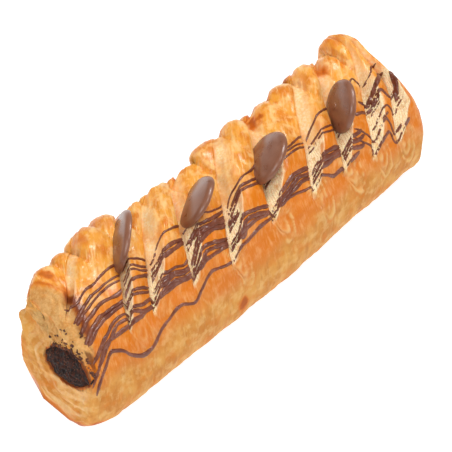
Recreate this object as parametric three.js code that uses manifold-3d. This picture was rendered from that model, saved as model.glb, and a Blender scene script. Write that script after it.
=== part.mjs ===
// A straight bar of puff pastry with an almond filling and four chocolate buttons. Millimetres, +Z up.
// One sheet of dough is folded round the filling: the fold is the front (-Y), the sealed edge the back (+Y).
// Slanting slits cut the top into bands that step like saw teeth, and a button stands in every other slit.
import * as THREE from "three";
import { mergeVertices } from "three/addons/utils/BufferGeometryUtils.js";
import Module from "manifold-3d";

const wasm = await Module();
wasm.setup();
const { clamp, lerp, smoothstep } = THREE.MathUtils;

// ---------------------------------------------------------------- driving sizes
const BAR_LENGTH = 192;
const DEPTH_TO_MIDDLE = 22.9; // from the zero of the section's depth to the middle of the whole bar
const FIT_GAP = 0.3; // between the dough and what sits in it

// Section of the bar without its slits, as [depth, height] with the depth growing to the back:
// from the front of the base, over the fold and the top, down the back to the base again.
const SECTION_POINTS = [
  [3, 0], [-1.6, 6.5], [-3, 16], [-1.2, 28], [6, 38.5], [16, 43.4], [28, 45.2], [39, 45.6],
  [45.6, 43.4], [47.6, 37.5], [44.6, 31], [44.2, 22], [42, 11], [35.5, 2.6], [33, 0],
];
const CREST_ARC = 82.8; // distance along the section to the back edge of the top
const SEAM_ARC = 98.5; // distance to the seam between the upper and the lower sheet

// Each slit runs from its tip on the fold to the crest at the back, both measured from the near end.
// tipArc is the tip's distance along the section, drop the step of the dough at the crest,
// and relief scales the whole step.
const SLITS = [
  { tip: 3, tipArc: 60, crest: 33, drop: 1.6, deep: false, relief: 0.55 },
  { tip: 25, tipArc: 41, crest: 57, drop: 5, deep: true, relief: 1 },
  { tip: 38.2, tipArc: 40.5, crest: 71.5, drop: 2, deep: false, relief: 1 },
  { tip: 59.6, tipArc: 39, crest: 86.5, drop: 5.5, deep: true, relief: 1 },
  { tip: 79, tipArc: 36, crest: 112, drop: 2, deep: false, relief: 1 },
  { tip: 104.3, tipArc: 39.5, crest: 131, drop: 5, deep: true, relief: 1 },
  { tip: 126.4, tipArc: 37, crest: 158, drop: 2.2, deep: false, relief: 1 },
  { tip: 144.8, tipArc: 36.5, crest: 170.5, drop: 4.5, deep: true, relief: 1 },
  { tip: 160.6, tipArc: 33.5, crest: 191, drop: 2.5, deep: false, relief: 0.9 },
  { tip: 174.2, tipArc: 32, crest: 203, drop: 2, deep: false, relief: 0.9 },
];
const SLIT_BEND = 1.2; // above 1, a slit starts across the bar and turns along it
const SLIT_RUN_ON = 1.15; // a slit keeps its slant this far, counted from its tip with the crest at 1
const SLIT_SPACING_AT_END = 3; // the last slits stay this far apart where the far end cuts them
const BACK_RELIEF = 0.25; // share of the relief that is left half way down the back

// A band climbs over its pale face and falls gently to the next slit.
const PALE_FACE_SHARE = 0.55; // the pale face takes at most this share of a band
const PALE_FACE_CURVE = 0.85; // below 1, it is steepest at the bottom of the slit
const BAND_CURVE = 1.35; // above 1, the glazed top falls mostly near the next slit
const BAND_ROLL = 0.5; // extra roundness of the glazed top

// How a slit changes from its tip (0) to the crest (1): the dough on its near side ends in a step down,
// and the next band climbs out of the slit over a pale face of some rise and width.
const DEEP_SLIT = {
  step: [[0, 0], [0.12, 1.2], [0.35, 3.4], [0.6, 5]],
  rise: [[0, 0], [0.1, 2.6], [0.25, 5.4], [0.45, 7], [0.75, 7], [1, 6.4]],
  width: [[0, 1.2], [0.1, 3], [0.3, 6.6], [0.6, 7.5], [1, 8]],
  crestStep: 1,
};
const SOFT_SLIT = {
  step: [[0, 0], [0.12, 0.9], [0.35, 1.6], [0.6, 1]],
  rise: [[0, 0], [0.1, 2.6], [0.25, 4.8], [0.45, 5], [0.75, 3.8], [1, 4]],
  width: [[0, 1.2], [0.1, 3], [0.3, 6], [0.6, 8], [1, 8.5]],
  crestStep: 0.6,
};
const CREST_STEP_AT = 0.85; // from here to the crest the step is the slit's own drop

// Scallops of the crest: where each one ends, measured from the near end, and how far it stands out.
const LOBES = [
  [24, -1], [33, -0.6], [47.5, 2.2], [57, 1.6], [71.5, -2.2], [86, -2.2], [101.5, -3.6], [118, -0.8],
  [129, 0], [145.5, -1], [158, -0.8], [170.5, 0.6], [180, -1], [192, 2.6],
];
const LOBE_BULGE = 2.6;
const LOBE_SINK = 1.9;
const SEAM_DEPTH = 1.6;
const SEAM_HALF_WIDTH = 2;
// Faces around the section are smallest between these two distances along it.
const CREST_ROWS_FROM = CREST_ARC - 14;
const CREST_ROWS_TO = CREST_ARC + 16;
const FRONT_ROWS_TO = 38; // the plain front below the slits has the largest faces
const LOWER_SHEET_WAVE = { height: 1.1, length: 15, phase: 0.8 };
const UNEVENNESS = 0.55;
const FOLD_SPREAD = 3.4; // the fold's foot stands out this much near the near end
const END_RADIUS = 4.5;
const NEAR_TOP_RADIUS = 12; // the near end's top and back edge are rounder
const NEAR_FRONT_RADIUS = 8; // and so is its corner to the front, above the foot
const END_SHARPNESS = 0.75;
const NEAR_LEAN = 3.4; // the near end leans back towards the top
const NEAR_HOLLOW = { depth: 33, width: 11, recess: 4.6 }; // and is hollowed beside the crest
const END_BULGE = 1;

// Stretches, along the section unless said otherwise, over which a form fades in or out.
const ROLL_START = [44, 60];
const ROLL_END = [CREST_ARC + 10, CREST_ARC + 30];
const RELIEF_WEAKENS = [CREST_ARC + 12, CREST_ARC + 24];
const RELIEF_END = [CREST_ARC + 36, CREST_ARC + 48];
const LOBES_START = [CREST_ARC - 20, CREST_ARC - 5];
const LOBES_END = [CREST_ARC + 13, CREST_ARC + 20];
const WAVE_START = [SEAM_ARC + 2.5, SEAM_ARC + 9.5];
const WAVE_END = [118, 126];
const UNEVEN_START = [6, 20];
const UNEVEN_END = [118, 128];
const FOOT_END = [2, 34];
const FOOT_FROM_NEAR_END = [-2, 14]; // along the bar
const FOOT_TO_FAR_END = [95, 185]; // along the bar
const LEAN_HEIGHTS = [16, 44];
const LEAN_RUN = [0, 30]; // along the bar
const NEAR_TOP_START = [60, 90];
const NEAR_FRONT_START = [4, 14];
const NEAR_FRONT_END = [30, 42];

// The filling fills a lens-shaped tunnel from end to end.
const MOUTH = { depth: 13.4, height: 27.7, halfWidth: 12.4, halfHeight: 7.9, roundness: 1.55 };
const FILLING_SIDES = 24;
const FILLING_INSET = 1.2; // the filling's faces lie this far inside the dough's ends
const FILLING_ROUGHNESS = 0.5; // of those two faces
const TUNNEL_OVERRUN = 12; // the solid that cuts the tunnel stands out this far beyond both ends

// Chocolate buttons: centre from the near end, in depth and in height, the way the domed face looks,
// and the radius.
const BUTTONS = [
  { at: [48, 32.6, 46], faces: [-0.666, 0.716, 0.211], radius: 13.2 },
  { at: [83.9, 26.5, 46.4], faces: [-0.489, 0.732, 0.473], radius: 11.3 },
  { at: [119.9, 22.9, 46.3], faces: [-0.519, 0.624, 0.584], radius: 11.7 },
  { at: [160.9, 20.4, 46.5], faces: [-0.8, 0.51, 0.315], radius: 10.8 },
];
const BUTTON_RIM = 2.4; // height of the rounded rim
const BUTTON_DOME = 1.6; // rise of the dome over the rim
const BUTTON_SIDES = 28;

// ---------------------------------------------------------------- materials
const crustMaterial = new THREE.MeshStandardMaterial({ color: "#dd9344", roughness: 0.45, metalness: 0 });
const fillingMaterial = new THREE.MeshStandardMaterial({ color: "#3b2018", roughness: 0.85, metalness: 0 });
const chocolateMaterial = new THREE.MeshStandardMaterial({ color: "#6b4636", roughness: 0.4, metalness: 0 });

// ---------------------------------------------------------------- small helpers
/** Value at x of the broken line through the stops, level beyond both ends. */
function brokenLine(x, stops) {
  if (x <= stops[0][0]) return stops[0][1];
  for (let i = 1; i < stops.length; i += 1) {
    const [x0, y0] = stops[i - 1];
    const [x1, y1] = stops[i];
    if (x <= x1) return lerp(y0, y1, (x - x0) / (x1 - x0));
  }
  return stops.at(-1)[1];
}

/** 0 before a stretch, 1 after it, and a smooth change over it. */
function fadeIn(x, [from, to]) {
  return smoothstep(x, from, to);
}

/** 1 before a stretch, 0 after it. */
function fadeOut(x, stretch) {
  return 1 - fadeIn(x, stretch);
}

/** Even steps from a to b, both included. */
function steps(a, b, count) {
  return Array.from({ length: count + 1 }, (_, i) => lerp(a, b, i / count));
}

/** Puts a place measured from the near end, in depth and in height, into the part's frame. */
function place(along, depth, height) {
  return new THREE.Vector3(along - BAR_LENGTH / 2, depth - DEPTH_TO_MIDDLE, height);
}

/** Closed geometry from rings of equally many points, with a point to close each end. */
function geometryFromRings(rings, firstPole, lastPole) {
  const count = rings[0].length;
  const points = [...rings.flat(), firstPole, lastPole];
  const first = points.length - 2;
  const last = points.length - 1;
  const index = [];
  for (let j = 0; j < count; j += 1) {
    const next = (j + 1) % count;
    index.push(first, j, next);
    for (let i = 0; i + 1 < rings.length; i += 1) {
      const a = i * count + j;
      const b = i * count + next;
      index.push(a, a + count, b + count, a, b + count, b);
    }
    const base = (rings.length - 1) * count;
    index.push(last, base + next, base + j);
  }
  const geometry = new THREE.BufferGeometry();
  const numbers = points.flatMap((point) => point.toArray());
  geometry.setAttribute("position", new THREE.Float32BufferAttribute(numbers, 3));
  geometry.setIndex(index);
  return geometry;
}

/** Solid for joining and cutting, without the triangles that have no area. */
function solidFrom(geometry) {
  const merged = geometry.clone();
  merged.deleteAttribute("normal");
  merged.deleteAttribute("uv");
  const clean = mergeVertices(merged, 1e-5);
  const triVerts = [];
  for (let i = 0; i < clean.index.count; i += 3) {
    const [a, b, c] = [0, 1, 2].map((k) => clean.index.getX(i + k));
    if (a !== b && b !== c && c !== a) triVerts.push(a, b, c);
  }
  const vertProperties = new Float32Array(clean.attributes.position.array);
  const mesh = new wasm.Mesh({ numProp: 3, vertProperties, triVerts: new Uint32Array(triVerts) });
  return new wasm.Manifold(mesh);
}

/** Geometry of a solid. */
function geometryFrom(solid) {
  const mesh = solid.getMesh();
  const geometry = new THREE.BufferGeometry();
  geometry.setAttribute("position", new THREE.BufferAttribute(new Float32Array(mesh.vertProperties), 3));
  geometry.setIndex(new THREE.BufferAttribute(new Uint32Array(mesh.triVerts), 1));
  return geometry;
}

// ---------------------------------------------------------------- the dough's surface
const sectionPoints = SECTION_POINTS.map(([depth, height]) => new THREE.Vector2(depth, height));
const section = new THREE.SplineCurve(sectionPoints);
section.arcLengthDivisions = 1500;
const SECTION_LENGTH = section.getLength();

/** Slit number n at a distance along the section: where it lies, and the heights of its three edges. */
function slitAt(n, arc) {
  if (n === 0) return { x: 0, edge: 0, bottom: 0, top: 0, width: 1 };
  if (n > SLITS.length) return { x: BAR_LENGTH, edge: 0, bottom: 0, top: 0, width: 1 };
  const slit = SLITS[n - 1];
  const kind = slit.deep ? DEEP_SLIT : SOFT_SLIT;
  const way = (arc - slit.tipArc) / (CREST_ARC - slit.tipArc);
  let x = slit.tip + (slit.crest - slit.tip) * clamp(way, 0, SLIT_RUN_ON) ** SLIT_BEND;
  const limit = BAR_LENGTH - 1 - (SLITS.length + 1 - n) * SLIT_SPACING_AT_END;
  const bendFrom = limit - 2 * SLIT_SPACING_AT_END;
  if (x > bendFrom) x = bendFrom + (limit - bendFrom) * Math.tanh((x - bendFrom) / (limit - bendFrom));
  const behind = 1 - (1 - BACK_RELIEF) * fadeIn(arc, RELIEF_WEAKENS);
  const relief = slit.relief * behind * fadeOut(arc, RELIEF_END);
  const crestStep = slit.drop * kind.crestStep;
  const step = relief * brokenLine(way, [...kind.step, [CREST_STEP_AT, crestStep], [1, slit.drop]]);
  const rise = relief * brokenLine(way, kind.rise);
  const edge = (step - rise) / 2;
  return { x, edge, bottom: edge - step, top: (rise - step) / 2, width: brokenLine(way, kind.width) };
}

/** Distance from the near end, and the height over the plain section, of a point of a band. */
function bandPoint(band, share, arc) {
  const from = slitAt(band, arc);
  const to = slitAt(band + 1, arc);
  const pitch = to.x - from.x;
  const width = Math.min(from.width, pitch * PALE_FACE_SHARE);
  const along = pitch * share;
  const x = from.x + along;
  if (along < width) return { x, lift: lerp(from.bottom, from.top, (along / width) ** PALE_FACE_CURVE) };
  const fall = (along - width) / Math.max(pitch - width, 1e-3);
  const roll = BAND_ROLL * Math.sin(Math.PI * fall) * fadeIn(arc, ROLL_START) * fadeOut(arc, ROLL_END);
  return { x, lift: lerp(from.top, to.edge, fall ** BAND_CURVE) + roll };
}

/** Scallops of the crest and of the lower sheet, and the seam between the two sheets. */
function edgeRelief(x, arc) {
  const crest = fadeIn(arc, LOBES_START) * fadeOut(arc, LOBES_END);
  let start = 0;
  let lobe = 0;
  for (const [end, height] of LOBES) {
    if (x <= end) {
      const across = 2 * (x - start) / (end - start) - 1;
      lobe = height - LOBE_SINK + LOBE_BULGE * Math.sqrt(Math.max(1 - across * across, 0));
      break;
    }
    start = end;
  }
  const seam = SEAM_DEPTH * Math.exp(-(((arc - SEAM_ARC) / SEAM_HALF_WIDTH) ** 2));
  const lowerSheet = fadeIn(arc, WAVE_START) * fadeOut(arc, WAVE_END);
  const { height, length, phase } = LOWER_SHEET_WAVE;
  return lobe * crest - seam + height * Math.sin(2 * Math.PI * x / length + phase) * lowerSheet;
}

/** Slow unevenness of hand-folded dough. */
function unevenness(x, arc) {
  const a = 0.11 * x;
  const b = 0.11 * arc;
  const lengthways = Math.sin(a + 1.3 + 2.1 * Math.sin(0.7 * b + 1));
  const around = Math.sin(1.3 * b + 0.7 + 1.7 * Math.sin(0.6 * a + 2));
  const slanted = Math.sin(1.9 * (0.7 * a + 0.8 * b) + 3.1);
  const offBase = fadeIn(arc, UNEVEN_START) * fadeOut(arc, UNEVEN_END);
  return UNEVENNESS * (lengthways + around + slanted) / 3 * offBase;
}

/** How far the leaning near end stands back at a point of the section. */
function nearEndLean(depth, height) {
  const hollow = NEAR_HOLLOW.recess * Math.exp(-(((depth - NEAR_HOLLOW.depth) / NEAR_HOLLOW.width) ** 2));
  return fadeIn(height, LEAN_HEIGHTS) * (NEAR_LEAN + hollow);
}

/** Fall of a rounded end at a distance from it. */
function endRounding(distance, radius) {
  const share = clamp(1 - distance / radius, 0, 1);
  return END_SHARPNESS * radius * (1 - Math.sqrt(1 - share * share));
}

/** Point of the dough's outside, as [distance from the near end, depth, height]. */
function outsidePoint(band, share, arc) {
  const { x, lift } = bandPoint(band, share, arc);
  const spreadAlong = fadeIn(x, FOOT_FROM_NEAR_END) * fadeOut(x, FOOT_TO_FAR_END);
  const spread = FOLD_SPREAD * spreadAlong * fadeOut(arc, FOOT_END);
  const nearFront = fadeIn(arc, NEAR_FRONT_START) * fadeOut(arc, NEAR_FRONT_END);
  const nearTop = (NEAR_TOP_RADIUS - END_RADIUS) * fadeIn(arc, NEAR_TOP_START);
  const nearRadius = END_RADIUS + nearTop + (NEAR_FRONT_RADIUS - END_RADIUS) * nearFront;
  const ends = endRounding(x, nearRadius) + endRounding(BAR_LENGTH - x, END_RADIUS);
  const out = lift + edgeRelief(x, arc) + unevenness(x, arc) + spread - ends;
  const round = clamp(arc / SECTION_LENGTH, 0, 1);
  const at = section.getPointAt(round);
  const way = section.getTangentAt(round);
  const depth = at.x - way.y * out;
  const height = Math.max(at.y + way.x * out, 0);
  return [x + nearEndLean(depth, height) * fadeOut(x, LEAN_RUN), depth, height];
}

// ---------------------------------------------------------------- the pieces
/** Closed outer form of the dough, without its filling tunnel and the buttons' slots. */
function doughGeometry() {
  const bandShares = [0, 0.17, 0.36, 0.52, 0.8, 1];
  const arcs = [
    ...steps(0, FRONT_ROWS_TO, 6),
    ...steps(FRONT_ROWS_TO, CREST_ROWS_FROM, 7).slice(1),
    ...steps(CREST_ROWS_FROM, CREST_ROWS_TO, 8).slice(1),
    ...steps(CREST_ROWS_TO, SECTION_LENGTH, 5).slice(1),
  ];
  const rings = [];
  for (let band = 0; band <= SLITS.length; band += 1) {
    for (const share of bandShares) {
      const ring = arcs.map((arc) => outsidePoint(band, share, arc));
      const [back, front] = [ring.at(-1), ring[0]];
      for (const way of [1 / 3, 2 / 3]) {
        ring.push([lerp(back[0], front[0], way), lerp(back[1], front[1], way), 0]);
      }
      rings.push(ring);
    }
  }
  const capRing = (ring, way, xAt) => ring.map(([, depth, height]) => {
    const d = lerp(depth, MOUTH.depth, way);
    const h = lerp(height, MOUTH.height, way);
    return [xAt(d, h, way), d, h];
  });
  const nearX = (depth, height, way) => nearEndLean(depth, height) - END_BULGE * Math.sin(Math.PI * way);
  const farX = (depth, height, way) => BAR_LENGTH + END_BULGE * Math.sin(Math.PI * way);
  const capWays = [0.12, 0.35, 0.65];
  const nearCap = capWays.map((way) => capRing(rings[0], way, nearX)).reverse();
  const farCap = capWays.map((way) => capRing(rings.at(-1), way, farX));
  const all = [...nearCap, ...rings, ...farCap].map((ring) => ring.map((point) => place(...point)));
  const nearPole = place(nearEndLean(MOUTH.depth, MOUTH.height), MOUTH.depth, MOUTH.height);
  return geometryFromRings(all, nearPole, place(BAR_LENGTH, MOUTH.depth, MOUTH.height));
}

/** Closed bar of the filling's lens section, grown on all sides, between two rough faces. */
function fillingGeometry(growth, inset, roughness) {
  const angles = steps(2 * Math.PI, 0, FILLING_SIDES).slice(0, -1);
  const lensPoint = (angle, scale) => {
    const power = MOUTH.roundness;
    const across = Math.abs(Math.cos(angle)) / MOUTH.halfWidth;
    const up = Math.abs(Math.sin(angle)) / MOUTH.halfHeight;
    const radius = ((across ** power + up ** power) ** (-1 / power) + growth) * scale;
    return [MOUTH.depth + Math.cos(angle) * radius, MOUTH.height + Math.sin(angle) * radius];
  };
  const bump = (angle, scale) => {
    const wave = Math.sin(3 * angle + 9 * scale) * Math.cos(5 * angle - 4 * scale);
    return roughness * wave;
  };
  const faceRing = (scale, xAt) => angles.map((angle) => {
    const [depth, height] = lensPoint(angle, scale);
    return place(xAt(depth, height) + bump(angle, scale), depth, height);
  });
  const nearX = (depth, height) => nearEndLean(depth, height) + inset;
  const farX = () => BAR_LENGTH - inset;
  const faceScales = [0.35, 0.7, 1];
  const rings = faceScales.map((scale) => faceRing(scale, nearX));
  for (const share of steps(0.1, 0.9, 8)) {
    rings.push(angles.map((angle) => place(BAR_LENGTH * share, ...lensPoint(angle, 1))));
  }
  rings.push(...faceScales.map((scale) => faceRing(scale, farX)).reverse());
  const nearPole = place(nearX(MOUTH.depth, MOUTH.height), MOUTH.depth, MOUTH.height);
  return geometryFromRings(rings, nearPole, place(farX(), MOUTH.depth, MOUTH.height));
}

/** Chocolate button about the Y axis: flat back, round rim and domed face, grown on all sides. */
function buttonGeometry(radius, growth) {
  const rim = BUTTON_RIM / 2 + growth;
  const rimMiddle = radius - BUTTON_RIM / 2;
  const profile = [new THREE.Vector2(0, -rim)];
  for (const angle of steps(-Math.PI / 2, Math.PI / 3, 5)) {
    profile.push(new THREE.Vector2(rimMiddle + rim * Math.cos(angle), rim * Math.sin(angle)));
  }
  const edge = profile.at(-1);
  const top = BUTTON_RIM / 2 + BUTTON_DOME + growth;
  for (const share of [0.7, 0.35, 0]) {
    profile.push(new THREE.Vector2(edge.x * share, lerp(top, edge.y, share * share)));
  }
  return new THREE.LatheGeometry(profile, BUTTON_SIDES);
}

/** Mesh of one button, or of the slot that it stands in when grown. */
function buttonMesh({ at, faces, radius }, growth) {
  const geometry = buttonGeometry(radius, growth);
  const mesh = new THREE.Mesh(geometry, chocolateMaterial);
  const direction = new THREE.Vector3(...faces).normalize();
  mesh.position.copy(place(...at));
  mesh.quaternion.setFromUnitVectors(new THREE.Vector3(0, 1, 0), direction);
  mesh.updateMatrix();
  return mesh;
}

/** The dough, with the tunnel for the filling and the buttons' slots cut out. */
function pastryGeometry() {
  let dough = solidFrom(doughGeometry()).subtract(solidFrom(fillingGeometry(FIT_GAP, -TUNNEL_OVERRUN, 0)));
  for (const button of BUTTONS) {
    const slot = buttonMesh(button, FIT_GAP);
    dough = dough.subtract(solidFrom(slot.geometry.clone().applyMatrix4(slot.matrix)));
  }
  return geometryFrom(dough);
}

// ---------------------------------------------------------------- the bar
const bar = new THREE.Group();

const pastry = new THREE.Mesh(pastryGeometry(), crustMaterial);
pastry.name = "pastry";
bar.add(pastry);

const filling = new THREE.Mesh(fillingGeometry(0, FILLING_INSET, FILLING_ROUGHNESS), fillingMaterial);
filling.name = "filling";
bar.add(filling);

BUTTONS.forEach((button, i) => {
  const mesh = buttonMesh(button, 0);
  mesh.name = `button_${i + 1}`;
  bar.add(mesh);
});

export default bar;
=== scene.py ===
"""A straight puff pastry bar with a chocolate and almond filling, chocolate lines and four buttons.

Lengths in this file are in millimetres unless a name says otherwise, and metres in Blender.
X runs along the bar from the near end (-X) to the far end, Y from the folded front to the sealed back.
"""

import math

import bpy
import numpy as np
from bpy.props import FloatProperty, FloatVectorProperty, IntProperty, PointerProperty
from mathutils import Matrix, Quaternion, Vector
from mathutils.bvhtree import BVHTree


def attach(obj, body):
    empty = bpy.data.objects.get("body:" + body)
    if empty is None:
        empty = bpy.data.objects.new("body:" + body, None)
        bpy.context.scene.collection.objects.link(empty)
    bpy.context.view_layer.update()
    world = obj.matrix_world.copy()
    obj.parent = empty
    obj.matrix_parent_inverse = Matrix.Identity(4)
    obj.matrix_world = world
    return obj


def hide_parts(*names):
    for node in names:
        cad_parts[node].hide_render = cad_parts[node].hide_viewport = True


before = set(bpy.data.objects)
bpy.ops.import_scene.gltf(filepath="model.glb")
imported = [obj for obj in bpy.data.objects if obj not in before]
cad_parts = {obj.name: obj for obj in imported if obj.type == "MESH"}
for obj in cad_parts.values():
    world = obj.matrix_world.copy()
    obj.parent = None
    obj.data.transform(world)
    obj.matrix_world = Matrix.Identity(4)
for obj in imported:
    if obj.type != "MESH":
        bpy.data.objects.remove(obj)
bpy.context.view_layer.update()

bl_info = {
    "name": "Chocolate pastry bar",
    "version": (1, 0, 0),
    "blender": (4, 5, 0),
    "location": "3D View > Sidebar > Pastry",
    "description": "Builds a slit puff pastry bar with its filling, chocolate buttons and chocolate lines",
    "category": "Add Mesh",
}

MM = 0.001

# ---------------------------------------------------------------- sizes of the dough, as in the CAD part
BAR_LENGTH = 192.0
DEPTH_TO_MIDDLE = 22.9
SECTION_POINTS = [
    (3, 0), (-1.6, 6.5), (-3, 16), (-1.2, 28), (6, 38.5), (16, 43.4), (28, 45.2), (39, 45.6),
    (45.6, 43.4), (47.6, 37.5), (44.6, 31), (44.2, 22), (42, 11), (35.5, 2.6), (33, 0),
]
CREST_ARC = 82.8
SEAM_ARC = 98.5
# Slits: tip from the near end, tip along the section, crest from the near end, drop, deep or soft, relief.
SLITS = [
    (3, 60, 33, 1.6, False, 0.55), (25, 41, 57, 5, True, 1), (38.2, 40.5, 71.5, 2, False, 1),
    (59.6, 39, 86.5, 5.5, True, 1), (79, 36, 112, 2, False, 1), (104.3, 39.5, 131, 5, True, 1),
    (126.4, 37, 158, 2.2, False, 1), (144.8, 36.5, 170.5, 4.5, True, 1), (160.6, 33.5, 191, 2.5, False, 0.9),
    (174.2, 32, 203, 2, False, 0.9),
]
# The pale face of each slit is this much wider than its kind's.
PALE_FACE_WIDTHS = (1, 0.65, 1.3, 1.1, 1.35, 1.5, 1.4, 1.25, 1.35, 1.3)
SLIT_BEND = 1.2
SLIT_RUN_ON = 1.15
SLIT_SPACING_AT_END = 3.0
BACK_RELIEF = 0.25
PALE_FACE_SHARE = 0.55
PALE_FACE_CURVE = 1.45
BAND_CURVE = 1.35
BAND_ROLL = 0.5
DEEP_SLIT = {
    "step": [(0, 0), (0.12, 1.2), (0.35, 3.4), (0.6, 5)],
    "rise": [(0, 0), (0.1, 2.6), (0.25, 5.4), (0.45, 7), (0.75, 7), (1, 6.4)],
    "width": [(0, 1.2), (0.1, 3), (0.3, 6.6), (0.6, 7.5), (1, 8)],
    "crest_step": 1.0,
}
SOFT_SLIT = {
    "step": [(0, 0), (0.12, 0.9), (0.35, 1.6), (0.6, 1)],
    "rise": [(0, 0), (0.1, 2.6), (0.25, 4.8), (0.45, 5), (0.75, 3.8), (1, 4)],
    "width": [(0, 1.2), (0.1, 3), (0.3, 6), (0.6, 8), (1, 8.5)],
    "crest_step": 0.6,
}
CREST_STEP_AT = 0.85
LOBES = [
    (24, -1), (33, -0.6), (47.5, 2.2), (57, 1.6), (71.5, -2.2), (86, -2.2), (101.5, -3.6), (118, -0.8),
    (129, 0), (145.5, -1), (158, -0.8), (170.5, 0.6), (180, -1), (192, 2.6),
]
LOBE_BULGE = 2.6
LOBE_SINK = 1.9
FOLD_SPREAD = 3.4
END_RADIUS = 4.5
NEAR_TOP_RADIUS = 12.0
NEAR_FRONT_RADIUS = 4.5
END_SHARPNESS = 0.75
NEAR_LEAN = 3.4
NEAR_HOLLOW_DEPTH, NEAR_HOLLOW_WIDTH, NEAR_HOLLOW_RECESS = 33.0, 11.0, 4.6
END_BULGE = 1.0
MOUTH_DEPTH, MOUTH_HEIGHT = 13.4, 28.4
MOUTH_HALF_WIDTH, MOUTH_ROUNDNESS = 12.3, 1.6
MOUTH_ABOVE, MOUTH_BELOW, MOUTH_TILT = 7.7, 8.0, 0.17
FAR_MOUTH_SHRINK = 2.4
TUNNEL_INSIDE = 0.72
# Buttons: centre (from the near end, depth, height), the way the dome looks, radius.
BUTTONS = [
    ((48, 32.6, 46), (-0.666, 0.716, 0.211), 13.2),
    ((83.9, 26.5, 46.4), (-0.489, 0.732, 0.473), 11.3),
    ((119.9, 22.9, 46.3), (-0.519, 0.624, 0.584), 11.7),
    ((160.9, 20.4, 46.5), (-0.8, 0.51, 0.315), 10.8),
]
BUTTON_RIM = 2.4
BUTTON_DOME = 1.6
BUTTON_SHOULDER = 2.3
BUTTON_BACK_EDGE = 0.4

# ---------------------------------------------------------------- sizes that only show here
LAYER_PITCH = 0.85
PALE_COLUMNS = 18
GLAZED_COLUMNS = 20
WALL_COLUMNS = 2
UNDERCUT = 0.7
CREST_SOFTENING = 0.65
CROWN_SOFTENING = 0.8
VALLEY_FILLING = 0.3
GROOVE_DEPTH = 1.5
LEAST_DOUGH = 0.4
# Below the slits' tips the mesh columns that meet in a slit stay this far apart, for even shading.
COLUMN_SPREAD = 0.16
# How far the bands slant along the bar between the slits' tips and the crest.
BAND_SLANT = 31.0
BAND_SLANT_FROM = 38.0
# How far forward a chocolate line hangs where it lies at the bottom of a slit.
LINE_SAG = 2.8
# The top sheet's edge at the near end: (distance along the section, distance from the near end).
NEAR_RIM = [
    (36, -2), (41, 4), (47, 7), (54, 8.2), (61, 10.6), (67, 10.4), (74, 8.6), (81, 6), (88, 4), (94, 0),
    (98, -2),
]
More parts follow.
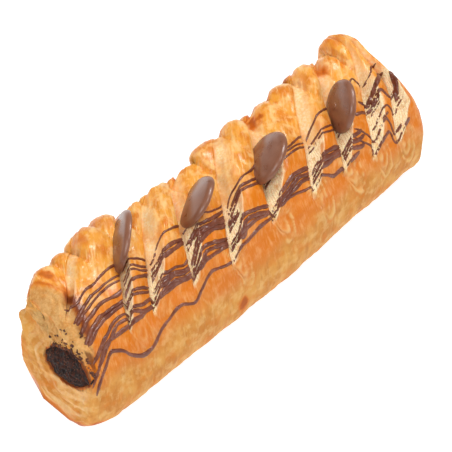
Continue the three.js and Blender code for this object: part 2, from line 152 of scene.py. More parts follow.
# Chocolate lines as seen from above: (from the near end, depth) along the line, and (from, width) pairs.
LINES = [
    {
        "path": [(10.5, 26.5), (15, 23.8), (21, 25.5), (30, 26.7), (40, 27.2), (48, 23.5), (53, 21.7),
            (60, 24), (72, 24.2), (84, 20.6), (92, 20), (98, 22.5), (110, 23.2), (118, 24.6), (130, 21),
            (140, 22.3), (155, 24.6), (168, 24), (171, 25)],
        "widths": [(0, 1.3), (40, 1.1), (90, 0.9), (180, 1.1)],
    },
    {
        "path": [(8.6, 18.2), (21, 21.8), (29, 22.9), (36, 22.6), (43, 21.3), (48, 18.9), (60, 18.2),
            (68, 18.4), (81, 17.5), (90, 17.3), (100, 19.3), (108, 18.9), (118, 19.1), (136, 18.8),
            (148, 17), (160, 17.5)],
        "widths": [(0, 1.8), (20, 1.3), (36, 0.9), (50, 1.3), (60, 1.7), (72, 1.7), (84, 1.3), (100, 1.5),
            (120, 0.9), (180, 0.9)],
        "beside": (-0.75, 0.75),
    },
    {
        "path": [(7.6, 14.4), (23, 18.5), (32, 17.9), (39, 17.7), (47, 16.4), (56, 17), (66, 17.2)],
        "widths": [(0, 1.8), (66, 1.4)],
    },
    {
        "path": [(6.6, 9.6), (16, 13), (23, 14.3), (32, 14.1), (39, 12.9), (45, 12.1), (51, 11.4), (56, 11),
            (62, 10.2), (67, 12.2), (72, 13.9), (80, 15.2), (88, 14.2), (96, 14.5)],
        "widths": [(0, 2), (20, 1.6), (40, 1.1), (62, 1.1), (74, 1.9), (96, 1.6)],
        "beside": (-0.8, 0.8),
    },
    {
        "path": [(5, 3), (16, 7.3), (23, 9.6), (30, 9.2), (36, 8), (43, 8.5), (51, 9.2), (60, 8.2),
            (67, 7.9), (72, 9.8), (82, 8.9), (89, 7.8), (95, 9.8), (106, 8.4), (111, 7.6), (117, 9.2),
            (124, 10.6), (131, 10.2), (138, 9.8), (150, 9.2), (158, 8.2), (163, 8.6)],
        "widths": [(0, 1.1), (40, 1.4), (60, 1.7), (72, 1.5), (110, 1.4), (125, 1.7), (150, 1.5),
            (165, 1.1)],
        "beside": (-0.85, 0.85),
    },
    {
        "path": [(0.8, -0.3), (6, 1.8), (14, 6), (22, 6.5), (31, 6), (37, 6.6), (45, 7), (52, 7.6),
            (60, 6.4), (66, 5.9), (71, 7), (81, 7), (89, 5.6), (93, 7.3), (99, 7), (106, 6.6), (112, 6),
            (118, 7.6), (127, 8.2), (133, 7.2), (143, 7.4), (150, 7), (158, 5.2), (161, 6)],
        "widths": [(0, 0.9), (14, 1.2), (30, 1.6), (50, 1.4), (85, 1.3), (120, 1.5), (150, 1.4),
            (170, 0.9)],
    },
    {
        "path": [(1.5, -1.8), (9, 1.4), (14, 3.4), (18, 2.4), (24, -0.5), (32, -1.8), (40, 0.3), (50, 2.1),
            (57, 0.4), (63, 2), (70, 3.4), (79, 2.4), (89, 3.9), (98, 4.8), (108, 5.2), (118, 6.2),
            (127, 5.3), (134, 5.2), (141, 3.9), (150, 3.4), (157, 4.6)],
        "widths": [(0, 1), (20, 0.9), (60, 0.8), (90, 1), (192, 1.1)],
    },
    {
        "path": [(172.5, 26), (176, 27.5), (177, 23), (180, 22.8), (183, 24), (187, 27), (190, 26.5)],
        "widths": [(0, 0.9), (192, 0.9)],
        "sag": 0,
    },
    {
        "path": [(172, 16), (174.5, 16.9), (178.2, 18), (184, 20.7), (186, 22.5), (189, 22)],
        "widths": [(0, 1.3), (192, 2)],
        "sag": 0,
    },
    {
        "path": [(169, 19), (171.5, 17.4), (173, 15.5), (176, 15.6), (180, 16), (181, 14), (183, 12.6),
            (187, 14)],
        "widths": [(0, 1), (174, 1.7), (192, 1)],
        "sag": 0,
    },
    {
        "path": [(163, 15.2), (168.5, 14.4), (171.5, 13.6), (175.6, 14.4), (179, 15)],
        "widths": [(0, 1.1), (175, 1.6), (192, 1)],
        "sag": 0,
    },
    {
        "path": [(166, 8.6), (168.5, 7.8), (172, 9), (176, 10), (178.5, 10), (180.2, 7.2), (183, 8.4),
            (187, 8.8)],
        "widths": [(0, 0.8), (192, 0.8)],
        "sag": 0,
    },
    {
        "path": [(158, 11), (161, 9.4), (163.5, 7.4), (165, 4.4), (169, 5.3), (174, 6.8), (175, 5),
            (175, 2.2), (177.5, 2.6), (181, 3.2)],
        "widths": [(0, 1.2), (170, 0.9), (192, 1.7)],
        "sag": 0,
    },
    {
        "path": [(156, 9), (160, 5.6), (162.6, 3.4), (161.5, 1), (167, 2.2), (173, 3.8), (174, 0.4),
            (178, 0.8), (185.5, 2.8)],
        "widths": [(0, 1), (192, 0.9)],
        "sag": 0,
    },
    {
        "path": [(184, 8.6), (185.5, 11.6), (187.5, 14.4), (189, 18), (190.5, 21)],
        "widths": [(0, 1.2), (188, 1.8), (192, 1)],
        "sag": 0,
    },
    {
        "path": [(169.5, 11), (173, 12.4), (177.5, 13.4)],
        "widths": [(0, 0.7), (192, 0.7)],
        "sag": 0,
    },
    {
        "path": [(171, 6.8), (174.5, 7.9), (178, 8.6)],
        "widths": [(0, 0.7), (192, 0.7)],
        "sag": 0,
    },
]
LINE_STEP = 0.36
LINE_SIDES = 8
SAMPLES_BETWEEN_POINTS = 60
LINE_TAPER, LINE_TIP = 2.4, 0.45      # length over which an end narrows, and its share of the width
LINE_SUNK = 0.1
LEAST_SAG = 0.05
FLAKY_ENOUGH = 0.2                    # on dough this flaky a line breaks up
LINE_BREAKS_AT = 2.2                  # a line doesn't bridge a longer gap than this
HIDDEN_HEIGHT = 20
RAY_START, NEAR_END_REACH = 200, 9
# Toasted spots: (from the near end, distance along the section, radius, strength).
TOASTED_SPOTS = [
    (15, 79, 5, 0.9), (36, 81, 4.5, 0.55), (50, 80, 4, 0.5), (133, 79, 6, 0.9), (170, 77, 5.5, 0.65),
    (82, 15, 5, 0.9), (4, 6, 5, 0.8), (13, 70, 5, 0.55), (11, 61, 3.5, 0.7), (7, 99, 3, 0.7),
    (96, 81, 4, 0.35), (112, 79, 4, 0.3), (150, 80, 4, 0.4), (184, 82, 5, 0.4), (28, 34, 5, 0.35),
    (97, 30, 6, 0.35), (140, 33, 5, 0.3), (60, 28, 6, 0.25),
]

# ---------------------------------------------------------------- the dough's mesh
GRID_OFFSET = 4096                    # keeps grid numbers positive
SECTION_SAMPLES = 3001
ROW_STARTS, ROW_COUNTS = (0, 25, 100), (27, 122, 33)
BASE_POINTS = 5
NEAR_RINGS, FAR_RINGS = 26, 14
COLUMNS_GATHER = (-0.35, -0.02)       # way along a slit: 0 at its tip, 1 at the crest
SPREAD_ENDS = (-0.12, 0)
BODY_SIDES = 96
TUNNEL_RINGS = ((0.02, 1), (0.06, TUNNEL_INSIDE), (0.5, TUNNEL_INSIDE), (0.94, TUNNEL_INSIDE), (0.98, 1))

# ---------------------------------------------------------------- the dough's relief
SEAM_DEPTH, SEAM_HALF_WIDTH = 1.6, 2.0
WAVE_HEIGHT, WAVE_LENGTH, WAVE_PHASE = 1.1, 15.0, 0.8
UNEVENNESS = 0.55
RELIEF_WEAKENS = (CREST_ARC + 12, CREST_ARC + 24)
RELIEF_END = (CREST_ARC + 36, CREST_ARC + 48)
FOOT_SPREADS = ((-2, 14), (95, 185))  # along the bar
FOOT_END = (2, 34)
LEAN_HEIGHTS = (16, 44)
LEAN_RUN = (0, 30)                    # along the bar
NEAR_TOP_START = (60, 90)
NEAR_FRONT_KEPT = 0.3
CREST_SOFTENS = (0.62, 1.0)           # these three are ways along a slit
WIDENING_ENDS = (0.5, 0.8)
CREST_EVENS_OUT = (0.42, 0.66)
EVENING_ENDS = (CREST_ARC + 4, CREST_ARC + 16)
SOFT_SHARE = 0.6
CROWN_KEPT_AT_CREST, CROWN_RETURNS, CROWN_HALF_WIDTH = 0.7, (66, 78), 2.6
VALLEY_HALF_WIDTH = 2.2
FULL_STEP = 3.0
GROOVE_HALF_WIDTH, GROOVE_STEP, CLIMB_STEP, WALL_STEP = 0.5, 1.5, 1.2, 2.0
FLAKE_STEP = 0.35
TIP_FADE = (0, 0.2)
LIP_HEIGHT, LIP_HALF_WIDTH, LIP_HIGHLIGHT_WIDTH = 0.45, 0.6, 0.5
LIP_FROM, LIP_TO = (0, 0.12), (0.35, 0.55)
FOLD_DEPTH, FOLD_WIDTH = 0.25, 0.1
BACK_SHEET_PITCH, BACK_SHEET_STEP, BACK_SHEETS_TO = 1.7, 0.45, (172, 184)
LEDGE_DEPTH, LEDGE_EDGE = 1.3, (-3.0, 0.4)
NEAR_KNOB = ((3.4, 4, 2.6, 99.5, 2.2), (-3.4, 5, 7, 89, 5))   # height, from the near end, width, arc, width
TUCK_DEPTH, TUCK_WIDTH = 2.6, 9
# Broken edges of thin layers under the slits' tips: (half width, length) of each arc.
ARC_SIZES = ((1.3, 6), (2.7, 11), (4.3, 17))
FAINT_ARCS, CLEAR_ARCS, FIRST_CLEAR_ARCS = 0.3, 0.9, 4
ARC_ABOVE_TIP, ARC_BESIDE_TIP, ARC_SPACING, ARC_SLANT = 4, 2.6, 0.8, 0.16
ARC_LINE_WIDTH, ARC_SHADE_AT, ARC_SHADE_WIDTH = 0.34, 0.75, 0.5
ARC_HEIGHT, ARC_SHADE = 0.6, 0.42

# ---------------------------------------------------------------- where the dough looks how
RIM_MIDDLE, RIM_TOAST_WIDTH, RIM_STAIN_WIDTH = 0.6, 1.7, 2.8
DARKEST_RIM_TO = (60, 72)
RUNS_TO = (3, 7)
LAST_CLOSED_BAND = 8
FACE_FROM = (-0.03, 0.03)
FACE_TO = (CREST_ARC + 2, CREST_ARC + 9)
FLAKY_TO, OPENED_FLAKY_TO = (0.42, 0.34), 0.16          # after a deep slit, after a soft one
FLAKY_REACH, OPENED_FLAKY_REACH = (0.94, 0.86), 0.2
FLAKY_FADE = 0.16
STRETCHED_FROM, STRETCHED_TO = (0.1, 1.2), (0.35, 1.1)
SOFT_TO = (74, 86)
CRUMB_TO = (-3.2, 0.6)
SPOT_FADE = (0.1, 1.15)
BASE_EDGES = ((1, 5), (124, 130))
PLAIN_FRONT_TO, FRONT_FADE, FRONT_FROM = 29, 5, (1, 6)
LOW_HALF_TO = (0.36, 0.62)
ZONES = {   # along the section: the stretch over which each starts and the stretch over which it ends
    "roll": ((44, 60), (CREST_ARC + 10, CREST_ARC + 30)),
    "lobes": ((CREST_ARC - 20, CREST_ARC - 5), (CREST_ARC + 13, CREST_ARC + 20)),
    "lower_sheet": ((SEAM_ARC + 2.5, SEAM_ARC + 9.5), (118, 126)),
    "uneven": ((6, 20), (118, 128)),
    "near_front": ((4, 14), (30, 42)),
    "near_crumb": ((38, 46), (92, 99)),
    "rim_toast": ((44, 52), (88, 96)),
    "rim_stain": ((46, 51), (64, 71)),
    "stain_runs": ((22, 30), (44, 52)),
    "lobe_toast": ((CREST_ARC - 5, CREST_ARC + 4), (CREST_ARC + 9, SEAM_ARC - 1)),
    "back": ((SEAM_ARC - 8, SEAM_ARC), (124, 130)),
    "glazed": ((26, 40), (92, 98)),
    "layered_back": ((CREST_ARC + 2, CREST_ARC + 6), (124, 130)),
    "near_ledge": ((46, 54), (86, 94)),
    "near_tuck": ((101, 106), (116, 126)),
    "relief": ((0.5, 5), (127, 131)),
}

# ---------------------------------------------------------------- end faces, filling, crumbs, buttons
MOUTH_GAP = 0.1
NEAR_LAYER, FAR_LAYER = 5, 9
END_LAYER_PITCH, END_LAYER_STEP, END_PORE_DEPTH = 1.3, 0.35, 0.9
NEAR_EDGE_WIDTH, FAR_EDGE_WIDTH, NEAR_BULGE_SHARE = 3.0, 1.2, 0.4
CREASE_FROM, CREASE_TO, CREASE_DEPTH, CREASE_WIDTH = (25.5, 25.5), (41.5, 31.0), 1.5, 0.9
MOUTH_STAIN_TO, MOUTH_TOAST_TO, END_SIDE_TO = (0.2, 1.8), (0, 1.4), (30, 40)
END_OFFSET = 300                      # sets the ends' streaks apart from the side's
FILLING_GROWTH, FAR_FILLING_GROWTH = 0.35, 0.25 - FAR_MOUTH_SHRINK
FILLING_INNER_GROWTH = -0.2
FILLING_INNER_RINGS = (14, 60, 130, 180)
FACE_RINGS, FACE_EDGE_INSET, FACE_CROWN = 30, 0.9, 0.4
NEAR_LUMPS, FAR_LUMPS = 0, 7
CRUMB_SEED = 4
CRUMB_ANGLES = (0.15, 2.9)            # round the filling, in radians
CRUMB_GAP, CRUMB_SCATTER = 0.2, 2.2
CRUMB_SIZES, CRUMB_SIDES, CRUMB_UNEVENNESS = (0.35, 0.95), (0.5, 0.5, 0.3), 0.35
BUTTON_TIP = ((0.95, 0.02), (0.7, 0.12), (0.4, 0.07), (0.02, 0.01))   # radius, rise

# Grains of relief: height, grain of the first distance, grain of the second, layer, seed.
GRAINS = {
    "flaky_end": (0.09, 5, 4, 0, 5), "flaky_edge": (0.14, 1.6, 2.2, 0, 55), "stretched": (0.45, 4, 7, 1, 56),
    "rim": (1.1, 3.5, 6, 0, 57), "rim_toast": (0.35, 4, 3, 0, 58), "stain": (0.6, 2.4, 1.8, 0, 67),
    "stain_runs": (1, 0.9, 6, 0, 68), "spot_edge": (0.35, 2.5, 2.5, 0, 9), "lobe_toast": (0.4, 5, 6, 0, 12),
    "base_toast": (0.3, 4, 3, 0, 13), "front_top": (3.5, 9, 1, 0, 59), "arc_bend": (0.7, 3, 4, 0, 21),
    "arc_gap": (1, 2.2, 2.2, 0, 22), "flake_layer": (0.34, 1 / 0.9, 3.2, 0, 3),
    "flake_tip": (0.26, 0.6, 1.3, 0, 4), "flake": (0.3, 2.6, 2.6, 2, 60),
    "stretch_line": (0.08, 1.3, 10, 0, 6),
    "stretch_wave": (0.22, 3, 7, 1, 7), "swell": (0.6, 7, 6, 0, 8), "blister": (0.26, 3, 4, 0, 10),
    "blister_top": (0.2, 2.1, 2.1, 5, 61), "crease": (0.2, 1.3, 6, 0, 11),
    "slanted_crease": (0.13, 1.4, 5, 7, 64), "pit": (0.07, 1.2, 1.4, 8, 65), "fold": (1, 5, 15, 4, 16),
    "wrinkle": (0.12, 2.6, 12, 0, 15), "wrinkle_bend": (2.34, 9, 8, 0, 14),
    "front_swell": (0.45, 8, 9, 0, 17),
    "front_grain": (0.12, 2, 3, 0, 18), "back_sheet": (0.6, 6, 6, 0, 19), "back_grain": (0.3, 4, 2.2, 0, 20),
    "crumb_swell": (0.7, 3.4, 3, 0, 62), "crumb_grain": (0.6, 1.5, 1.5, 0, 63),
    "crumb_pore": (0.6, 0.9, 0.9, 0, 66), "layer_wave": (0.8, 5, 4, 0, 1),
    "layer_break": (0.35, 1.4, 1.8, 3, 2),
    "mouth_edge": (0.45, 1 / 3, 1, 0, 31), "end_layer": (0.5, 4, 4, 0, 32), "end_pore": (1, 1.6, 1.6, 0, 33),
    "end_small_pore": (0.5, 0.8, 0.8, 3, 34), "end_layer_edge": (0.25, 1, 0.2, 0, 35),
    "end_swell": (0.9, 5, 5, 0, 36), "end_grain": (0.5, 1.7, 1.7, 0, 37), "end_pale": (1, 2, 9, 0, 39),
    "mouth_stain": (0.9, 1, 1, 0, 45), "mouth_toast": (0.6, 1, 1, 0, 40), "end_base_toast": (2, 4, 1, 0, 38),
    "lump": (0.7, 3.2, 3.2, 0, 41), "small_lump": (0.55, 1.3, 1.3, 2, 42), "paste": (0.35, 0.6, 0.6, 5, 43),
    "button_edge": (0.012, 2 / 3, 2 / 3, 0, 51), "button_face": (0.12, 5, 5, 0, 52),
    "line_width": (0.16, 3.5, 1, 0, 61), "line_width_fine": (0.08, 1.2, 1, 0, 62),
    "line_sway": (0.3, 4.5, 1, 3, 63), "line_gap": (1, 0.8, 0.9, 0, 64),
    "line_gap_fine": (0.5, 0.45, 0.45, 0, 65),
}


# ---------------------------------------------------------------- small helpers
def lerp(a, b, share):
    """Value the given share of the way from a to b."""
    return a + (b - a) * share


def smooth(x, low, high):
    """0 below low, 1 above high, and a smooth change between them."""
    share = np.clip((np.asarray(x, float) - low) / (high - low), 0, 1)
    return share * share * (3 - 2 * share)


def between(x, rise, fall):
    """1 between two stretches, 0 outside them, and a smooth change over each."""
    return smooth(x, *rise) * (1 - smooth(x, *fall))


def bell(x, width):
    """1 at zero, falling smoothly on both sides."""
    return np.exp(-((x / width) ** 2))


def broken_line(x, stops):
    """Value at x of the broken line through the stops, level beyond both ends."""
    return np.interp(x, [a for a, _ in stops], [b for _, b in stops])


def spline(path, count):
    """Points of a smooth curve through a path, and their distances along it."""
    points = np.array(path, float)
    last = len(points) - 1
    t = np.linspace(0, last, count)
    i = np.minimum(t.astype(int), last - 1)
    w = (t - i)[:, None]
    before, here = points[np.maximum(i - 1, 0)], points[i]
    ahead, after = points[i + 1], points[np.minimum(i + 2, last)]
    start, end = (ahead - before) / 2, (after - here) / 2
    curve = (2 * here - 2 * ahead + start + end) * w**3
    curve = curve + (-3 * here + 3 * ahead - 2 * start - end) * w**2 + start * w + here
    return curve, np.r_[0, np.cumsum(np.hypot(*np.diff(curve, axis=0).T))]


def corner_number(i, j, k, seed):
    """Even random number from -1 to 1 for each corner of a grid, by mixing bits with large odd factors."""
    mixed = i.astype(np.uint64) * np.uint64(73856093) ^ j.astype(np.uint64) * np.uint64(19349663)
    mixed ^= k.astype(np.uint64) * np.uint64(83492791) ^ np.uint64(seed * 2654435761 + 97)
    for shift, factor in ((15, 2246822519), (13, 3266489917)):
        mixed = (mixed ^ (mixed >> np.uint64(shift))) * np.uint64(factor)
        mixed &= np.uint64(0xFFFFFFFF)
    return (mixed >> np.uint64(8)).astype(float) / float(1 << 23) - 1


def noise(x, y, z=0.0, seed=0):
    """Smooth random relief from about -1 to 1 with a grain of one unit."""
    x, y, z = np.broadcast_arrays(np.asarray(x, float), np.asarray(y, float), np.asarray(z, float))
    corner = [np.floor(a).astype(np.int64) for a in (x, y, z)]
    ease = [smooth(p - c, 0, 1) for p, c in zip((x, y, z), corner)]
    total = 0.0
    for step in np.ndindex(2, 2, 2):
        weight = 1.0
        for share, d in zip(ease, step):
            weight = weight * (share if d else 1 - share)
        grid = [c + d + GRID_OFFSET for c, d in zip(corner, step)]
        total = total + weight * corner_number(*grid, seed)
    return total


def grainy(name, first, second=0.0, layer=None, floor=None):
    """Random relief of a named grain over two distances. With a floor, only what stands over it."""
    height, grain_1, grain_2, own_layer, seed = GRAINS[name]
    relief = noise(first / grain_1, second / grain_2, own_layer if layer is None else layer, seed)
    return height * (relief if floor is None else np.clip(relief - floor, 0, 1))


def zone(name, arc):
    """1 within a named zone along the section, 0 outside it."""
    return between(arc, *ZONES[name])


def ripple(value):
    """Stair steps of height one less their slope, from about -0.5 to 0.5."""
    part = value - np.floor(value)
    return smooth(part, 0.6, 1.0) - part + 0.3


# ---------------------------------------------------------------- the dough's surface
SECTION_CURVE, SECTION_DISTANCE = spline(SECTION_POINTS, SECTION_SAMPLES)
SECTION_LENGTH = SECTION_DISTANCE[-1]


def section_at(arc):
    """Depth, height and the outward direction of the section at a distance along it."""
    slope = np.gradient(SECTION_CURVE, SECTION_DISTANCE, axis=0)
    at = [np.interp(arc, SECTION_DISTANCE, SECTION_CURVE[:, k]) for k in (0, 1)]
    way = [np.interp(arc, SECTION_DISTANCE, slope[:, k]) for k in (0, 1)]
    size = np.hypot(*way)
    return at[0], at[1], -way[1] / size, way[0] / size


def slit_at(n, arc):
    """Where slit n lies at distances along the section, and the heights of its three edges."""
    arc = np.asarray(arc, float)
    zero = np.zeros_like(arc)
    if n in (0, len(SLITS) + 1):
        plain = dict.fromkeys(("edge", "bottom", "top", "step", "deep_share"), zero)
        return plain | {"x": zero + (BAR_LENGTH if n else 0), "width": zero + 1, "way": zero - 1}
    tip, tip_arc, crest, drop, deep, strength = SLITS[n - 1]
    kind = DEEP_SLIT if deep else SOFT_SLIT
    way = (arc - tip_arc) / (CREST_ARC - tip_arc)
    x = tip + (crest - tip) * np.clip(way, 0, SLIT_RUN_ON) ** SLIT_BEND
    limit = BAR_LENGTH - 1 - (len(SLITS) + 1 - n) * SLIT_SPACING_AT_END
    bend = limit - 2 * SLIT_SPACING_AT_END
    x = np.where(x > bend, bend + (limit - bend) * np.tanh(np.maximum(x - bend, 0) / (limit - bend)), x)
    behind = 1 - (1 - BACK_RELIEF) * smooth(arc, *RELIEF_WEAKENS)
    relief = strength * behind * (1 - smooth(arc, *RELIEF_END))
    relief = relief * (1 - CREST_SOFTENING * smooth(way, *CREST_SOFTENS))
    crest_step = drop * kind["crest_step"]
    step = relief * broken_line(way, [*kind["step"], (CREST_STEP_AT, crest_step), (1, drop)])
    rise = relief * broken_line(way, kind["rise"])
    edge = (step - rise) / 2
    widened = lerp(PALE_FACE_WIDTHS[n - 1], 1, smooth(way, *WIDENING_ENDS))
    return {
        "x": x, "edge": edge, "bottom": edge - step, "top": (rise - step) / 2, "way": way, "step": step,
        "width": broken_line(way, kind["width"]) * widened,
        "deep_share": zero + (1.0 if deep else SOFT_SHARE) * strength,
    }


def edge_relief(x, arc):
    """Scallops of the crest and of the lower sheet, and the seam between the two sheets."""
    lobe = np.zeros_like(x)
    start = 0.0
    for end, height in LOBES:
        across = np.clip(2 * (x - start) / (end - start) - 1, -1, 1)
        inside = (x > start) & (x <= end)
        lobe = np.where(inside, height - LOBE_SINK + LOBE_BULGE * np.sqrt(1 - across**2), lobe)
        start = end
    seam = SEAM_DEPTH * bell(arc - SEAM_ARC, SEAM_HALF_WIDTH)
    wave = WAVE_HEIGHT * np.sin(2 * np.pi * x / WAVE_LENGTH + WAVE_PHASE)
    return lobe * zone("lobes", arc) - seam + wave * zone("lower_sheet", arc)


def unevenness(x, arc):
    """Slow unevenness of hand-folded dough."""
    a, b = 0.11 * x, 0.11 * arc
    lengthways = np.sin(a + 1.3 + 2.1 * np.sin(0.7 * b + 1))
    around = np.sin(1.3 * b + 0.7 + 1.7 * np.sin(0.6 * a + 2))
    slanted = np.sin(1.9 * (0.7 * a + 0.8 * b) + 3.1)
    return UNEVENNESS * (lengthways + around + slanted) / 3 * zone("uneven", arc)


def near_end_lean(depth, height):
    """How far the leaning near end stands back."""
    hollow = NEAR_HOLLOW_RECESS * bell(depth - NEAR_HOLLOW_DEPTH, NEAR_HOLLOW_WIDTH)
    return smooth(height, *LEAN_HEIGHTS) * (NEAR_LEAN + hollow)


def end_rounding(distance, radius):
    """Fall of a rounded end at a distance from it."""
    share = np.clip(1 - distance / radius, 0, 1)
    return END_SHARPNESS * radius * (1 - np.sqrt(1 - share * share))


def row_arcs():
    """Distances along the section of the dough mesh's rows, closest where the slits are."""
    starts = [*ROW_STARTS, SECTION_LENGTH]
    return np.unique(np.concatenate([np.linspace(*at) for at in zip(starts, starts[1:], ROW_COUNTS)]))


def band_lift(across, width, pitch, arc, here, there):
    """Height over the plain section of points that lie across a band from its slit."""
    soften = smooth(here["way"], *CREST_EVENS_OUT) * (1 - smooth(arc, *EVENING_ENDS))
    climbed = np.clip(across / width, 0, 1)
    gentle = lerp(climbed**PALE_FACE_CURVE, smooth(climbed, 0, 1), soften)
    climb = lerp(here["bottom"], here["top"], gentle)
    fall = np.clip((across - width) / np.maximum(pitch - width, 1e-3), 0, 1)
    roll = BAND_ROLL * np.sin(np.pi * fall) * zone("roll", arc)
    top = lerp(here["top"], there["edge"], fall**BAND_CURVE) + roll
    off_crest = 1 - CROWN_KEPT_AT_CREST * smooth(arc, *CROWN_RETURNS)
    crown = CROWN_SOFTENING * bell(across - width, CROWN_HALF_WIDTH) * off_crest
    valley = VALLEY_FILLING * bell(across, VALLEY_HALF_WIDTH)
    return np.where(across < width, climb, top) + soften * here["deep_share"] * (valley - crown)


def band_columns(band, arcs):
    """Columns of one band: lift over the plain section, distance along, and what kind of dough it is."""
    here, there = slit_at(band, arcs), slit_at(band + 1, arcs)
    pitch = there["x"] - here["x"]
    width = np.minimum(here["width"], pitch * PALE_FACE_SHARE)
    even = PALE_COLUMNS / (PALE_COLUMNS + GLAZED_COLUMNS)
    pale_share = lerp(even, width / pitch, smooth(here["way"], *COLUMNS_GATHER))
    apart = COLUMN_SPREAD * (1 - smooth(here["way"], *SPREAD_ENDS)) * (band > 0)
    apart_there = COLUMN_SPREAD * (1 - smooth(there["way"], *SPREAD_ENDS)) * (band < len(SLITS))
    columns = []
    for k in range(1, WALL_COLUMNS + 1) if band else ():
        share = k / (WALL_COLUMNS + 1)
        columns.append((0 * arcs, share, lerp(here["edge"], here["bottom"], share), apart * (2 * share - 1)))
    for k in range(PALE_COLUMNS):
        columns.append((pitch * pale_share * k / PALE_COLUMNS, 1.0, None, apart * (k == 0)))
    for k in range(GLAZED_COLUMNS):
        share = k / (GLAZED_COLUMNS - 1)
        columns.append((pitch * lerp(pale_share, 1, share), 1.0, None, -apart_there * (share == 1)))
    rows = []
    for across, wall, lift, nudge in columns:
        if lift is None:
            lift = band_lift(across, width, pitch, arcs, here, there)
        hang = np.clip(here["step"] / FULL_STEP, 0, 1) * np.clip(1 - across / width, 0, 1) ** 2
        rows.append({
            "x": here["x"] + across - UNDERCUT * hang * wall + nudge, "lift": lift, "across": across,
            "width": width, "way": here["way"], "next_way": there["way"], "arc": arcs, "step": here["step"],
            "wall": np.full_like(arcs, 0.0 if wall == 1.0 else wall),
            "band": np.full_like(arcs, band), "deep": np.full_like(arcs, bool(band and SLITS[band - 1][4])),
        })
    return rows


def near_end_looks(x, arc):
    """Distance from the rim of the top sheet at the near end, and how toasted and how stained it is there."""
    rim = x - broken_line(arc, NEAR_RIM) + grainy("rim", arc, x)
    toast = bell(rim - RIM_MIDDLE, RIM_TOAST_WIDTH) * zone("rim_toast", arc)
    toast = toast * (0.6 + 0.7 * (1 - smooth(arc, *DARKEST_RIM_TO)) + grainy("rim_toast", arc, x))
    stain = bell(rim - RIM_MIDDLE, RIM_STAIN_WIDTH) * zone("rim_stain", arc)
    stain = stain * (1.15 + grainy("stain", arc, x))
    runs = grainy("stain_runs", x, arc) * (1 - smooth(x, *RUNS_TO)) * zone("stain_runs", arc)
    return rim, toast, np.clip(np.maximum(stain, 0.9 * smooth(runs, 0.1, 0.5)), 0, 1)


def dough_looks(c):
    """Masks from 0 to 1 of how each point of the outside was cut, stretched, glazed and toasted."""
    x, arc, across, width, way = c["x"], c["arc"], c["across"], c["width"], c["way"]
    deep, opened = c["deep"] > 0, c["band"] > LAST_CLOSED_BAND
    # The pale face beside each slit: cut layers low down, and stretched dough further up.
    face = smooth(way, *FACE_FROM) * (1 - smooth(arc, *FACE_TO)) * (c["band"] > 0)
    flaky_to = np.where(deep, *FLAKY_TO) + OPENED_FLAKY_TO * opened + grainy("flaky_end", x, arc)
    ragged = across / width + grainy("flaky_edge", x, arc)
    reach = np.where(deep, *FLAKY_REACH) + OPENED_FLAKY_REACH * opened
    flaky = face * (1 - smooth(way, flaky_to, flaky_to + FLAKY_FADE)) * (c["band"] > 1)
    flaky = flaky * (1 - smooth(ragged, reach, reach + FLAKY_FADE))
    streak = smooth(across, *STRETCHED_FROM) * (1 - smooth(across / width, *STRETCHED_TO))
    soft = face * (1 - flaky) * streak * (0.75 + grainy("stretched", x, arc)) * (1 - smooth(arc, *SOFT_TO))
    rim, rim_toast, stain = near_end_looks(x, arc)
    crumb = (1 - smooth(rim, *CRUMB_TO)) * zone("near_crumb", arc)
    # Toast: spots, the rim, the outer edges of the scallops and the edge of the base.
    toast = rim_toast
    for spot_x, spot_arc, radius, strength in TOASTED_SPOTS:
        away = np.hypot(x - spot_x, arc - spot_arc) / radius
        away = away + grainy("spot_edge", x, arc, spot_x)
        toast = np.maximum(toast, strength * (1 - smooth(away, *SPOT_FADE)))
    toast = np.maximum(toast, zone("lobe_toast", arc) * (0.35 + grainy("lobe_toast", x, arc)))
    base_edge = 1 - between(arc, *BASE_EDGES)
    toast = np.maximum(toast, base_edge * (0.7 + grainy("base_toast", x, arc)))
    low_to = PLAIN_FRONT_TO + grainy("front_top", x)
    front = smooth(arc, *FRONT_FROM) * (1 - smooth(arc, low_to - FRONT_FADE, low_to + FRONT_FADE))
    low_half = 1 - smooth(way, *LOW_HALF_TO)
    groove = bell(across, GROOVE_HALF_WIDTH) * np.clip(c["step"] / GROOVE_STEP, 0, 1) * face * low_half
    climb = face * np.clip(1 - across / width, 0, 1) * np.clip(c["step"] / CLIMB_STEP, 0, 1)
    climb = climb * (c["wall"] == 0)
    return {
        "climb": climb, "stain": stain, "flaky": flaky, "soft": np.clip(soft, 0, 1),
        "toast": np.clip(toast, 0, 1), "front": front, "back": zone("back", arc), "groove": groove,
        "crumb": crumb, "rim": rim, "low_half": low_half,
    }


def band_slant(arc):
    """How far the bands have gone along the bar at distances along the section."""
    way = np.clip((arc - BAND_SLANT_FROM) / (CREST_ARC - BAND_SLANT_FROM), 0, SLIT_RUN_ON)
    return BAND_SLANT * way**SLIT_BEND


